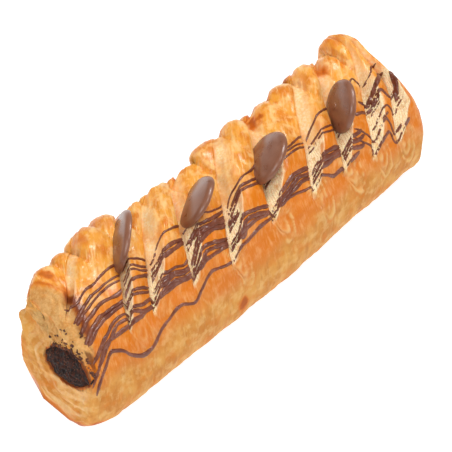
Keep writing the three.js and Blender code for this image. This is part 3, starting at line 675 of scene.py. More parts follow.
def flake_arcs(c):
    """Broken edges of thin layers that curve down from the slits' tips, and painted shade outside each."""
    lines, shades = np.zeros_like(c["x"]), np.zeros_like(c["x"])
    for n, (tip, tip_arc, *_) in enumerate(SLITS[1:], 1):
        strength = FAINT_ARCS if n < FIRST_CLEAR_ARCS else CLEAR_ARCS
        for k, (half_width, length) in enumerate(ARC_SIZES):
            below = tip_arc + ARC_ABOVE_TIP - c["arc"]
            middle = tip + ARC_BESIDE_TIP + ARC_SPACING * k + ARC_SLANT * below
            aside = c["x"] - middle + grainy("arc_bend", c["x"], c["arc"], n)
            out = (np.hypot(aside / half_width, np.maximum(below, 0) / length) - 1) * half_width
            broken = smooth(grainy("arc_gap", c["arc"], c["x"], n + 0.5 * k), -0.5, 0.2)
            broken = strength * broken * (1 - smooth(-below, 0.5, 5 + k))
            lines = np.maximum(lines, broken * bell(out, ARC_LINE_WIDTH))
            shades = np.maximum(shades, broken * bell(out - ARC_SHADE_AT, ARC_SHADE_WIDTH))
    return lines, shades


def dough_detail(c, looks):
    """Fine relief over the CAD surface: layers, stretched dough, blisters, wrinkles."""
    x, arc, across, layer, band = c["x"], c["arc"], c["across"], c["layer"], c["band"]
    from_crown = across - c["width"]
    flakes = FLAKE_STEP * ripple(layer) + grainy("flake_layer", layer, arc, band * 3.7)
    flakes = flakes + grainy("flake_tip", across, arc, x / 3) + grainy("flake", x, arc)
    stretched = grainy("stretch_line", across, arc, band) + grainy("stretch_wave", across, arc)
    glazed = (1 - looks["flaky"]) * zone("glazed", arc) * (1 - looks["crumb"])
    blisters = grainy("swell", x, arc) + grainy("blister", x, arc) + grainy("blister_top", x, arc, floor=0.3)
    inside = smooth(c["way"], *TIP_FADE) * smooth(c["next_way"], *TIP_FADE)
    creases = grainy("crease", from_crown, arc, band) * inside
    creases = creases + grainy("slanted_crease", x - band_slant(arc), arc) + grainy("pit", x, arc)
    lip = LIP_HEIGHT * bell(from_crown, LIP_HALF_WIDTH) * between(c["way"], LIP_FROM, LIP_TO)
    fold = -FOLD_DEPTH * np.clip(1 - np.abs(grainy("fold", x + arc / 8, arc)) / FOLD_WIDTH, 0, 1)
    front = grainy("wrinkle", x + grainy("wrinkle_bend", x, arc), arc) + fold
    front = front + grainy("front_swell", x, arc) + grainy("front_grain", x, arc)
    sheets = arc / BACK_SHEET_PITCH + grainy("back_sheet", x, arc)
    back = BACK_SHEET_STEP * ripple(sheets) * (1 - smooth(x, *BACK_SHEETS_TO)) + grainy("back_grain", x, arc)
    porous = grainy("crumb_swell", x, arc) + grainy("crumb_grain", x, arc)
    porous = porous - grainy("crumb_pore", x, arc, floor=0.35)
    ledge = LEDGE_DEPTH * (1 - smooth(looks["rim"], *LEDGE_EDGE)) * zone("near_ledge", arc)
    detail = looks["flaky"] * flakes + looks["soft"] * stretched + glazed * (blisters + creases)
    detail = detail + lip * (band > 0) + looks["front"] * front + zone("layered_back", arc) * back
    detail = detail + ARC_HEIGHT * c["flake_lines"] + looks["crumb"] * porous - ledge
    detail = detail - GROOVE_DEPTH * looks["groove"]
    # The knob on the near end's back edge, the hollow over it and the tuck below it.
    for height, at_x, width, at_arc, arc_width in NEAR_KNOB:
        detail = detail + height * bell(x - at_x, width) * bell(arc - at_arc, arc_width)
    detail = detail - TUCK_DEPTH * bell(x, TUCK_WIDTH) * zone("near_tuck", arc)
    return detail * zone("relief", arc)


def dough_outside():
    """Grid of the dough's outside: points by column and row, and the masks for its colours."""
    arcs = row_arcs()
    rows = [row for band in range(len(SLITS) + 1) for row in band_columns(band, arcs)]
    c = {key: np.array([row[key] for row in rows]) for key in rows[0]}
    x, arc = c["x"], c["arc"]
    looks = dough_looks(c)
    c["flake_lines"], flake_shades = flake_arcs(c)
    # Painted shade outside each flake edge, laid into the toast mask.
    looks["toast"] = np.maximum(looks["toast"], ARC_SHADE * flake_shades)
    c["layer"] = c["across"] / LAYER_PITCH + grainy("layer_wave", x, arc, c["band"])
    c["layer"] = c["layer"] + grainy("layer_break", x, arc)
    detail = dough_detail(c, looks)
    for i, share in enumerate(c["wall"].max(axis=1)):
        if share > 0:
            first = i - round(share * (WALL_COLUMNS + 1))
            last = first + WALL_COLUMNS + 1
            detail[i] = lerp(detail[first], detail[last], share)
            for mask in looks.values():
                mask[i] = lerp(mask[first], mask[last], share)
            for key in ("flaky", "groove"):
                looks[key][i] = looks[key][last]
    spread = FOLD_SPREAD * between(x, *FOOT_SPREADS) * (1 - smooth(arc, *FOOT_END))
    near_front = zone("near_front", arc)
    near_radius = END_RADIUS + (NEAR_TOP_RADIUS - END_RADIUS) * smooth(arc, *NEAR_TOP_START)
    near_radius = near_radius + (NEAR_FRONT_RADIUS - END_RADIUS) * near_front
    near_fall = end_rounding(x, near_radius) * (1 - NEAR_FRONT_KEPT * near_front)
    ends = near_fall + end_rounding(BAR_LENGTH - x, END_RADIUS)
    out = c["lift"] + edge_relief(x, arc) + unevenness(x, arc) + spread - ends + detail
    depth, height, out_depth, out_height = section_at(arc)
    depth = depth + out_depth * out
    height = np.maximum(height + out_height * out, 0)
    along = x + near_end_lean(depth, height) * (1 - smooth(x, *LEAN_RUN))
    looks["layer"] = c["layer"]
    looks["flake_line"] = c["flake_lines"]
    # Painted highlight: a cream line along each band's crown.
    lip = bell(c["across"] - c["width"], LIP_HIGHLIGHT_WIDTH) * (c["band"] > 0)
    looks["lip"] = lip * between(c["way"], LIP_FROM, LIP_TO)
    # Painted shade: dark colour in the slits' grooves and on the walls of their steps, where shade falls.
    wall = np.clip(c["wall"], 0, 1) * np.clip(c["step"] / WALL_STEP, 0, 1) * looks["low_half"]
    looks["deepness"] = np.maximum(looks["groove"], wall)
    looks["face"] = looks.pop("crumb")
    del looks["groove"], looks["rim"], looks["low_half"]
    looks["along"], looks["arc"] = x - band_slant(arc), arc
    return np.stack([along, depth, height], -1), looks


def mouth_point(angle, growth):
    """Point of the filling's lens outline at an angle seen from its middle."""
    leaning = np.sin(angle) + MOUTH_TILT * np.cos(angle)
    across = np.abs(np.cos(angle)) / MOUTH_HALF_WIDTH
    up = np.abs(leaning) / np.where(leaning > 0, MOUTH_ABOVE, MOUTH_BELOW)
    radius = (across**MOUTH_ROUNDNESS + up**MOUTH_ROUNDNESS) ** (-1 / MOUTH_ROUNDNESS) + growth
    return MOUTH_DEPTH + np.cos(angle) * radius, MOUTH_HEIGHT + np.sin(angle) * radius


def end_rings(ring, near):
    """Rings from the outside's last ring over an end face to the mouth of the tunnel, with their masks."""
    depth, height = ring[:, 1], ring[:, 2]
    angle = np.arctan2(height - MOUTH_HEIGHT, depth - MOUTH_DEPTH)
    mouth_depth, mouth_height = mouth_point(angle, MOUTH_GAP - (0 if near else FAR_MOUTH_SHRINK))
    wander = grainy("mouth_edge", angle, 0, NEAR_LAYER if near else FAR_LAYER)
    mouth_depth = mouth_depth + np.cos(angle) * wander
    mouth_height = mouth_height + np.sin(angle) * wander
    reach = np.hypot(depth - MOUTH_DEPTH, height - MOUTH_HEIGHT)
    mouth_reach = np.hypot(mouth_depth - MOUTH_DEPTH, mouth_height - MOUTH_HEIGHT)
    kept = np.minimum(1, (reach - LEAST_DOUGH) / mouth_reach)
    mouth_depth = lerp(MOUTH_DEPTH, mouth_depth, kept)
    mouth_height = lerp(MOUTH_HEIGHT, mouth_height, kept)
    thickness = np.hypot(depth - mouth_depth, height - mouth_height)
    points, masks = [], []
    for way in np.arange(1, (NEAR_RINGS if near else FAR_RINGS) + 1) / (NEAR_RINGS if near else FAR_RINGS):
        d, h = lerp(depth, mouth_depth, way), lerp(height, mouth_height, way)
        inner = (1 - way) * thickness
        layers = inner / END_LAYER_PITCH + grainy("end_layer", d, h)
        under = 1 - smooth(h, MOUTH_HEIGHT - 4, MOUTH_HEIGHT + 6)
        pores = grainy("end_pore", d, h, floor=0.25) + grainy("end_small_pore", d, h, floor=0)
        rough = END_LAYER_STEP * ripple(layers) * under + grainy("end_layer_edge", layers, angle)
        rough = rough - END_PORE_DEPTH * pores * lerp(1, 0.4, under) + grainy("end_swell", d, h)
        rough = rough + grainy("end_grain", d, h)
        fade = smooth(way * thickness, 0, NEAR_EDGE_WIDTH if near else FAR_EDGE_WIDTH)
        rough = rough * smooth(inner, 0, NEAR_EDGE_WIDTH)
        bulge = END_BULGE * (NEAR_BULGE_SHARE if near else 1) * np.sin(np.pi * way) + rough * fade
        along = near_end_lean(d, h) - bulge + near_crease(d, h) * fade if near else BAR_LENGTH + bulge
        points.append(np.stack([along, d, h], -1))
        masks.append({"layers": layers, "pores": pores * fade, "under": under, "fade": fade, "inner": inner})
    return points, masks


def near_crease(depth, height):
    """Recess of the crease from the filling's back corner to the knob on the near end."""
    start, end = np.array(CREASE_FROM), np.array(CREASE_TO)
    way = end - start
    share = np.clip(((depth - start[0]) * way[0] + (height - start[1]) * way[1]) / (way @ way), 0, 1.1)
    away = np.hypot(depth - start[0] - way[0] * share, height - start[1] - way[1] * share)
    return CREASE_DEPTH * bell(away, CREASE_WIDTH)


def mesh_piece(name, points_mm, faces, masks=None, material=None):
    """New smooth mesh object from points in the bar's own sizes, with masks stored as point attributes."""
    mesh = bpy.data.meshes.new(name)
    points = (np.asarray(points_mm, float) - [BAR_LENGTH / 2, DEPTH_TO_MIDDLE, 0]) * MM
    mesh.from_pydata(points.tolist(), [], faces.tolist() if isinstance(faces, np.ndarray) else faces)
    for key, values in (masks or {}).items():
        attribute = mesh.attributes.new(key, "FLOAT", "POINT")
        attribute.data.foreach_set("value", np.asarray(values, np.float32))
    mesh.shade_smooth()
    mesh.validate()
    mesh.update()
    mesh.materials.append(material)
    obj = bpy.data.objects.new(name, mesh)
    bpy.context.scene.collection.objects.link(obj)
    return obj


def quads_between(first, second):
    """Quads between two closed rings of point numbers."""
    return np.stack([first, second, np.roll(second, -1), np.roll(first, -1)], -1)


def turned_body(rings, flipped):
    """All points of closed rings, and faces that join them, with a face of many corners at both ends."""
    sides = len(rings[0])
    numbers = np.arange(len(rings) * sides).reshape(-1, sides)
    pairs = zip(numbers[1:], numbers) if flipped else zip(numbers, numbers[1:])
    quads = np.concatenate([quads_between(first, second) for first, second in pairs])
    step = -1 if flipped else 1
    caps = [list(numbers[0][::step]), list(numbers[-1][::-step])]
    return np.vstack(rings), [list(quad) for quad in quads] + caps


def end_looks(place, mask, near, names):
    """Masks for the colours of one ring of an end face."""
    zero = np.zeros(len(place))
    depth, height = place[:, 1], place[:, 2]
    cut = mask["fade"] * ((1 - mask["under"]) if near else 1)
    pale = 0.5 * mask["under"] * mask["fade"] * smooth(grainy("end_pale", mask["inner"], depth), 0, 0.6)
    stained = mask["inner"] + grainy("mouth_stain", depth, height)
    toasted = mask["inner"] + grainy("mouth_toast", depth, height)
    base_toast = 1 - smooth(height, 1, 5 + grainy("end_base_toast", depth))
    looks = dict.fromkeys(names, zero)
    looks["stain"] = 0.85 * (1 - smooth(stained, *MOUTH_STAIN_TO))
    looks["toast"] = 0.55 * base_toast + 0.9 * (1 - smooth(toasted, *MOUTH_TOAST_TO))
    looks["front"] = (1 - cut) * (1 - smooth(height, *END_SIDE_TO))
    looks["layer"], looks["face"] = mask["layers"], cut
    # Painted shade in the pores of the end faces.
    looks["deepness"] = np.clip(mask["pores"], 0, 1) * 0.25 * cut
    looks["along"], looks["arc"] = height + END_OFFSET, depth + END_OFFSET
    if near:
        looks["soft"] = pale
    return looks


def dough_mesh():
    """Points, quads and masks of the whole dough with its tunnel."""
    outside, looks = dough_outside()
    names = list(looks)
    rings, ring_looks = [], []
    for i, column in enumerate(outside):
        back, front = column[-1], column[0]
        base = [lerp(back, front, k / (BASE_POINTS + 1)) * [1, 1, 0] for k in range(1, BASE_POINTS + 1)]
        rings.append(np.vstack([column, base]))
        base_looks = {key: np.zeros(BASE_POINTS) for key in names}
        base_looks["toast"] += 0.8
        base_looks["along"] += back[0]
        base_looks["arc"] = SECTION_LENGTH + 6.0 * np.arange(1, BASE_POINTS + 1)
        ring_looks.append({key: np.r_[looks[key][i], base_looks[key]] for key in names})
    near_points, near_masks = end_rings(rings[0], True)
    far_points, far_masks = end_rings(rings[-1], False)
    near_looks = [end_looks(*item, True, names) for item in zip(near_points, near_masks)]
    far_looks = [end_looks(*item, False, names) for item in zip(far_points, far_masks)]
    tunnel = []
    middle = np.array([0, MOUTH_DEPTH, MOUTH_HEIGHT])
    for share, size in TUNNEL_RINGS:
        ring = lerp(near_points[-1], far_points[-1], share)
        tunnel.append((ring - middle) * [1, size, size] + middle)
    tunnel_looks = [{key: np.zeros(len(rings[0])) for key in names} for _ in tunnel]
    all_rings = near_points[::-1] + rings + far_points + tunnel[::-1]
    all_looks = near_looks[::-1] + ring_looks + far_looks + tunnel_looks
    numbers = np.arange(len(all_rings) * len(rings[0])).reshape(-1, len(rings[0]))
    quads = [quads_between(first, second) for first, second in zip(numbers, np.roll(numbers, -1, axis=0))]
    masks = {key: np.concatenate([item[key] for item in all_looks]) for key in names}
    return np.vstack(all_rings), np.concatenate(quads), masks


# ---------------------------------------------------------------- colours and materials
def linear(code):
    """Linear colour from an sRGB hex code."""
    parts = [int(code[k : k + 2], 16) / 255 for k in (1, 3, 5)]
    return tuple(p / 12.92 if p <= 0.04045 else ((p + 0.055) / 1.055) ** 2.4 for p in parts)


# Short names for nodes: the node, its settings, the inputs that values fill in order, and its output.
MATHS_INPUTS = (0, 1)
NODES = {
    "place": ("ShaderNodeTexCoord", {}, (), "Object"),
    "mask": ("ShaderNodeAttribute", {}, (), "Fac"),
    "noise": ("ShaderNodeTexNoise", {}, ("Vector", "Scale", "Detail", "Roughness"), "Fac"),
    "levels": (
        "ShaderNodeMapRange", {"interpolation_type": "SMOOTHSTEP"},
        ("Value", "From Min", "From Max", "To Min", "To Max"), 0,
    ),
    "mix": ("ShaderNodeMix", {"data_type": "RGBA", "clamp_factor": True}, (0, 6, 7), 2),
    "sum": ("ShaderNodeMath", {"operation": "ADD"}, MATHS_INPUTS, 0),
    "rest": ("ShaderNodeMath", {"operation": "SUBTRACT"}, MATHS_INPUTS, 0),
    "times": ("ShaderNodeMath", {"operation": "MULTIPLY"}, MATHS_INPUTS, 0),
    "larger": ("ShaderNodeMath", {"operation": "MAXIMUM"}, MATHS_INPUTS, 0),
    "zigzag": ("ShaderNodeMath", {"operation": "PINGPONG"}, MATHS_INPUTS, 0),
}


def add(tree, kind, *values, settings=None, **inputs):
    """Adds a node, sets it, fills its inputs with numbers, colours or links, and gives its output.

    The kind is a short name or a node's own name. In the name of an input, _ stands for a space.
    """
    name, fixed, places, output = NODES.get(kind, (kind, {}, (), 0))
    node = tree.nodes.new(name)
    for key, value in (fixed | (settings or {})).items():
        setattr(node, key, value)
    named = [(key.replace("_", " "), value) for key, value in inputs.items()]
    for place, value in [*zip(places, values), *named]:
        socket = node.inputs[place]
        if isinstance(value, bpy.types.NodeSocket):
            tree.links.new(value, socket)
        elif socket.type == "RGBA" and len(value) == 3:
            socket.default_value = (*value, 1)
        else:
            socket.default_value = value
    return node.outputs[output] if node.outputs else None


def new_material(name):
    """Empty node material with its tree and the place of each point in metres."""
    material = bpy.data.materials.new(name)
    material.use_nodes = True
    tree = material.node_tree
    tree.nodes.clear()
    return material, tree, add(tree, "place")


def shade(material, tree, **inputs):
    """The material, once its shader has the inputs."""
    shader = add(tree, "ShaderNodeBsdfPrincipled", **inputs)
    add(tree, "ShaderNodeOutputMaterial", Surface=shader)
    return material


def over(tree, colour, paint, pattern, low, high, amount=1.0):
    """Colour with a paint laid over it: none where the pattern is low, the full amount where it is high."""
    return add(tree, "mix", add(tree, "levels", pattern, low, high, 0, amount), colour, paint)


def grain(tree, vector, size_mm, detail=3.0, roughness=0.55):
    """Noise of a grain size in millimetres over a vector in metres."""
    return add(tree, "noise", vector, 1 / (size_mm * MM), detail, roughness)


def unrolled(tree, flat, along, around, detail, roughness=0.6):
    """Noise on the unrolled side, with so many grains for each millimetre along and around the bar."""
    at = add(tree, "ShaderNodeMapping", Vector=flat, Scale=(along, around, 1))
    return add(tree, "noise", at, 1.0, detail, roughness)


DOUGH_MASKS = (
    "flaky", "soft", "toast", "front", "back", "layer", "flake_line", "lip", "deepness", "face", "stain",
    "along", "arc",
)


def dough_material(look):
    """Puff pastry, egg-washed and baked: satin gold tops, matt cream layers where it was cut, tan sides."""
    material, tree, place = new_material("Baked puff pastry")
    masks = {key: add(tree, "mask", settings={"attribute_name": key}) for key in DOUGH_MASKS}
    flat = add(tree, "ShaderNodeCombineXYZ", X=masks["along"], Y=masks["arc"])
    streaks = unrolled(tree, flat, 0.3, 0.1, 3.0)
    wide = unrolled(tree, flat, 0.12, 0.08, 4.0)
    run = unrolled(tree, flat, 0.55, 0.13, 5.0, 0.62)
    strand = unrolled(tree, flat, 1.6, 0.22, 3.0)
    blotches = grain(tree, place, 7, 4)
    patches = grain(tree, place, 4.5, 4, 0.6)
    fine = grain(tree, place, 1.1, 3)
    speckle = grain(tree, place, 0.5, 2)
    # The egg wash browns unevenly: gold with deeper orange pools and pale, thinly washed patches.
    high = add(tree, "levels", masks["arc"], 50, 68)
    gold = add(tree, "mix", high, look.deep_gold, look.gold)
    gold = over(tree, gold, look.deep_gold, blotches, 0.44, 0.62, 0.8)
    gold = over(tree, gold, look.light_gold, patches, 0.46, 0.66, add(tree, "levels", high, 0, 1, 0.2, 0.8))
    gold = over(tree, gold, look.light_gold, run, 0.5, 0.68, add(tree, "levels", high, 0, 1, 0.3, 0.8))
    gold = over(tree, gold, look.light_gold, strand, 0.5, 0.7, 0.2)
    gold = over(tree, gold, look.deep_gold, run, 0.46, 0.3, 0.6)
    # The unglazed side is tan, with pale loose flakes and brown streaks that run down it.
    side = over(tree, look.side, look.side_light, wide, 0.35, 0.65)
    side = over(tree, side, look.side_brown, streaks, 0.5, 0.72, 0.5)
    side = over(tree, side, look.side_pale, run, 0.52, 0.72, 0.55)
    side = over(tree, side, look.side_brown, strand, 0.52, 0.72, 0.15)
    side = over(tree, side, look.side_pale, patches, 0.48, 0.66, 0.5)
    side = over(tree, side, look.deep_gold, blotches, 0.5, 0.66, 0.45)
    colour = add(tree, "mix", masks["front"], gold, side)
    colour = add(tree, "mix", add(tree, "times", masks["back"], 0.8), colour, side)
    # Cut layers stay cream, with painted shade in the gaps between the layers and in patches.
    wavy_layer = add(tree, "sum", masks["layer"], add(tree, "times", fine, 1.2))
    layer_line = add(tree, "zigzag", wavy_layer, 0.5)
    cream = add(tree, "levels", layer_line, 0.0, 0.22, 0.35, 1)
    cream = add(tree, "mix", cream, look.cream_shadow, look.cream)
    cream = over(tree, cream, look.cream_brown, speckle, 0.48, 0.66, 0.6)
    cream = over(tree, cream, look.cream_shadow, patches, 0.42, 0.3, 0.7)
    soft = over(tree, look.stretched, look.stretched_light, fine, 0.35, 0.7)
    colour = add(tree, "mix", masks["soft"], colour, soft)
    # The near end is open crumb, with painted shade of its pores in patches.
    crumb = over(tree, look.crumb_shadow, look.crumb, patches, 0.35, 0.62)
    crumb = over(tree, crumb, look.side_pale, fine, 0.42, 0.66, 0.4)
    crumb = over(tree, crumb, look.side, speckle, 0.48, 0.7, 0.4)
    colour = add(tree, "mix", masks["face"], colour, crumb)
    colour = add(tree, "mix", masks["flaky"], colour, cream)
    # Painted highlight: cream along the crowns' lips.
    colour = add(tree, "mix", add(tree, "times", masks["lip"], 0.5), colour, look.cream)
    colour = add(tree, "mix", add(tree, "times", masks["flake_line"], 0.85), colour, look.side_pale)
    # Toasted spots turn orange and then brown, painted shade darkens the slits' bottoms, and chocolate stains
    # the rim.
    toast = add(tree, "levels", blotches, 0.3, 0.5, 0.55, 1.15)
    toast = add(tree, "times", masks["toast"], toast, settings={"use_clamp": True})
    toast_colour = over(tree, look.toast, look.dark_toast, toast, 0.45, 1.0)
    # The toast mask also holds painted shade outside the flake edges.
    colour = over(tree, colour, toast_colour, toast, 0.08, 0.75)
    # Painted shade: the dark colour goes into the slits' bottoms, the walls of their steps and the end faces'
    # pores.
    colour = add(tree, "mix", add(tree, "times", masks["deepness"], 0.8), colour, look.gap)
    colour = add(tree, "mix", add(tree, "times", masks["stain"], 0.85), colour, look.stain)
    dry = add(tree, "larger", masks["flaky"], masks["face"])
    for key, dryness in (("soft", 0.6), ("front", 0.55), ("back", 0.7)):
        dry = add(tree, "larger", dry, add(tree, "times", masks[key], dryness))
    roughness = add(tree, "levels", dry, 0.0, 1.0, look.glaze_roughness, 0.8)
    uneven = add(tree, "times", add(tree, "rest", fine, 0.5), 0.25)
    roughness = add(tree, "sum", roughness, uneven, settings={"use_clamp": True})
    coat = add(tree, "levels", dry, 0.0, 0.6, 0.34, 0.0)
    coat = add(tree, "times", coat, add(tree, "levels", high, 0, 1, 0.25, 1))
    height = add(tree, "sum", add(tree, "times", fine, 0.6), add(tree, "times", speckle, 0.25))
    streaked = add(tree, "times", streaks, add(tree, "times", masks["front"], 0.8))
    height = add(tree, "sum", height, streaked)
    strength = add(tree, "levels", dry, 0.0, 1.0, 0.4, 0.9)
    bump = add(tree, "ShaderNodeBump", Strength=strength, Distance=0.35 * MM, Height=height)
    return shade(
        material, tree, Base_Color=colour, Roughness=roughness, IOR=1.45,
        Normal=bump, Coat_Weight=coat,
        Coat_Roughness=0.2, Specular_IOR_Level=0.22, Subsurface_Weight=0.15,
        Subsurface_Radius=(1.0, 0.45, 0.2), Subsurface_Scale=1.2 * MM,
    )


def chocolate_material(name, colours, roughness, coat=0.0):
    """Tempered milk or plain chocolate: satin, with a faint bloom and shallow marks from handling."""
    material, tree, place = new_material(name)
    cloud = grain(tree, place, 6, 3)
    fine = grain(tree, place, 0.6, 3)
    bump = add(tree, "ShaderNodeBump", Strength=0.25, Distance=0.12 * MM, Height=fine)
    return shade(
        material, tree, Base_Color=over(tree, *colours, cloud, 0.35, 0.65), IOR=1.46,
        Roughness=add(tree, "levels", cloud, 0.3, 0.7, roughness - 0.04, roughness + 0.06),
        Normal=bump, Coat_Weight=coat, Coat_Roughness=0.26, Subsurface_Weight=0.05,
        Subsurface_Radius=(0.8, 0.4, 0.3), Subsurface_Scale=0.6 * MM,
    )


def filling_material(look):
    """Baked chocolate and ground almond paste: dark, matt, with crumbs of lighter almond; its darkest colour
    lies in the relief's hollows, partly the paste's own colour and partly painted shade.
    """
    material, tree, place = new_material("Chocolate almond filling")
    crumbs = grain(tree, place, 1.4, 4, 0.65)
    flecks = grain(tree, place, 0.7, 2)
    bump = add(tree, "ShaderNodeBump", Strength=0.9, Distance=0.4 * MM, Height=crumbs)
    # Partly painted shade: the darkest colour lies in the hollows of the same relief as the bump.
    colour = over(tree, look.filling_dark, look.filling_light, crumbs, 0.42, 0.64)
    return shade(
        material, tree, Base_Color=over(tree, colour, look.almond, flecks, 0.6, 0.7, 0.5), IOR=1.45,
        Roughness=add(tree, "levels", crumbs, 0.3, 0.7, 0.4, 0.8), Normal=bump,
        Specular_IOR_Level=0.3,
    )


def floor_material(look):
    """Opal acrylic table, lit faintly from below, which keeps the shadows pale."""
    material, tree, place = new_material("Opal acrylic")
    return shade(
        material, tree, Base_Color=add(tree, "mix", grain(tree, place, 40, 3), look.floor, look.floor_shade),
        Roughness=0.9, IOR=1.4, Emission_Color=look.light_below, Emission_Strength=look.glow,
    )


# ---------------------------------------------------------------- the filling
def filling_mesh():
    """Points and faces of the filling: a lens-shaped bar with crumbly faces at both ends."""
    angle = np.linspace(2 * np.pi, 0, BODY_SIDES, endpoint=False)

    def face_ring(scale, near):
        edge = mouth_point(angle, FILLING_GROWTH if near else FAR_FILLING_GROWTH)
        d, h = lerp(MOUTH_DEPTH, edge[0], scale), lerp(MOUTH_HEIGHT, edge[1], scale)
        lumps = grainy("lump", d, h, NEAR_LUMPS if near else FAR_LUMPS)
        lumps = lumps + grainy("small_lump", d, h) + grainy("paste", d, h)
        inset = FACE_EDGE_INSET * scale**6 - FACE_CROWN * (1 - scale**2)
        along = near_end_lean(d, h) + inset - lumps if near else BAR_LENGTH - inset + lumps
        return np.stack([along, d, h], -1)

    scales = np.linspace(0.02, 1, FACE_RINGS)
    edge = mouth_point(angle, FILLING_INNER_GROWTH)
    inner = [lerp(MOUTH_DEPTH, edge[0], TUNNEL_INSIDE), lerp(MOUTH_HEIGHT, edge[1], TUNNEL_INSIDE)]
    rings = [face_ring(scale, True) for scale in scales]
    rings.extend(np.stack([np.full(BODY_SIDES, float(x)), *inner], -1) for x in FILLING_INNER_RINGS)
    rings.extend(face_ring(scale, False) for scale in scales[::-1])
    return turned_body(rings, flipped=False)


def crumb_mesh(places, sizes, rng):
    """Points and faces of many small broken lumps, each an uneven eight-cornered block."""
    corners = np.array([[a, b, c] for a in (-1, 1) for b in (-1, 1) for c in (-1, 1)], float)
    sides = np.array([[0, 1, 3, 2], [4, 6, 7, 5], [0, 4, 5, 1], [2, 3, 7, 6], [0, 2, 6, 4], [1, 5, 7, 3]])
    points, faces = [], []
    for place, size in zip(places, sizes):
        turn = Quaternion(rng.normal(size=4)).normalized().to_matrix()
        lump = corners * (1 + CRUMB_UNEVENNESS * rng.uniform(-1, 1, (8, 3))) * CRUMB_SIDES * size
        faces.append(sides + 8 * len(points))
        points.append(lump @ np.array(turn).T + place)
    return np.vstack(points), np.concatenate(faces)


# ---------------------------------------------------------------- the buttons
def button_mesh(radius, seed):
    """Points and faces of one button lying flat: flat back, rounded rim, domed face with a drawn-off tip."""
    rim = BUTTON_RIM / 2
    equator = BUTTON_BACK_EDGE - rim
    profile = [(0.02, -rim), (radius * 0.5, -rim)]
    for rounding, start, end, count in ((BUTTON_BACK_EDGE, -90, -15, 5), (BUTTON_SHOULDER, 0, 72, 16)):
        for angle in np.radians(np.linspace(start, end, count)):
            out = radius - rounding * (1 - math.cos(angle))
            profile.append((out, equator + rounding * math.sin(angle)))
    edge, low = profile[-1]
    top = rim + BUTTON_DOME
    for share in np.linspace(0.96, 0.1, 18):
        profile.append((edge * share, lerp(top, low, share**2)))
    profile += [(out, top + rise) for out, rise in BUTTON_TIP]
    angle = np.linspace(0, 2 * np.pi, BODY_SIDES, endpoint=False)
    rings = []
    for r, z in profile:
        wobble = 1 + grainy("button_edge", np.cos(angle), np.sin(angle), seed)
        x, y = r * np.cos(angle) * wobble, r * np.sin(angle) * wobble
        lift = grainy("button_face", x, y, seed) * smooth(r / radius, 0.04, 0.15)
        rings.append(np.stack([x, y, z + lift], -1))
    return turned_body(rings, flipped=True)


# ---------------------------------------------------------------- the chocolate lines
def line_samples(path, widths):
    """Even points along a smooth line through the path, with the line's sideways direction and width."""
    curve, distance = spline(path, SAMPLES_BETWEEN_POINTS * (len(path) - 1) + 1)
    even = np.arange(0, distance[-1], LINE_STEP)
    at = np.stack([np.interp(even, distance, curve[:, k]) for k in (0, 1)], -1)
    way = np.gradient(at, axis=0)
    way /= np.linalg.norm(way, axis=1)[:, None]
    return at, np.stack([-way[:, 1], way[:, 0]], -1), broken_line(at[:, 0], widths)


class Surface:
    """The dough as a ray finds it: points, directions and masks."""

    def __init__(self, obj):
        mesh = obj.data
        count = len(mesh.vertices)
        points = np.zeros(count * 3)
        mesh.vertices.foreach_get("co", points)
        self.faces = np.zeros(len(mesh.polygons) * 4, int)
        mesh.polygons.foreach_get("vertices", self.faces)
        self.faces = self.faces.reshape(-1, 4)
        self.tree = BVHTree.FromPolygons(points.reshape(-1, 3).tolist(), self.faces.tolist())
        self.masks = {}
        for key in ("flaky", "climb"):
            self.masks[key] = np.zeros(count, np.float32)
            mesh.attributes[key].data.foreach_get("value", self.masks[key])

    def below(self, x, depth):
        """Height, outward direction, flakiness and sag of the dough below a place, or None."""
        start = Vector(((x - BAR_LENGTH / 2) * MM, (depth - DEPTH_TO_MIDDLE) * MM, RAY_START * MM))
        hit, normal, face, _distance = self.tree.ray_cast(start, Vector((0, 0, -1)))
        if hit is None:
            return None
        if normal.z < 0:
            normal = -normal
        flaky, climb = (float(self.masks[key][self.faces[face]].mean()) for key in ("flaky", "climb"))
        return hit.z / MM, normal, flaky, LINE_SAG * climb

    def from_near_end(self, depth, height):
        """Place on the near end at a depth and a height, or None where there is no dough."""
        start = Vector((-RAY_START * MM, (depth - DEPTH_TO_MIDDLE) * MM, height * MM))
        reach = (RAY_START - BAR_LENGTH / 2 + NEAR_END_REACH) * MM
        hit = self.tree.ray_cast(start, Vector((1, 0, 0)), reach)[0]
        return None if hit is None else (hit.x / MM + BAR_LENGTH / 2, depth, height)


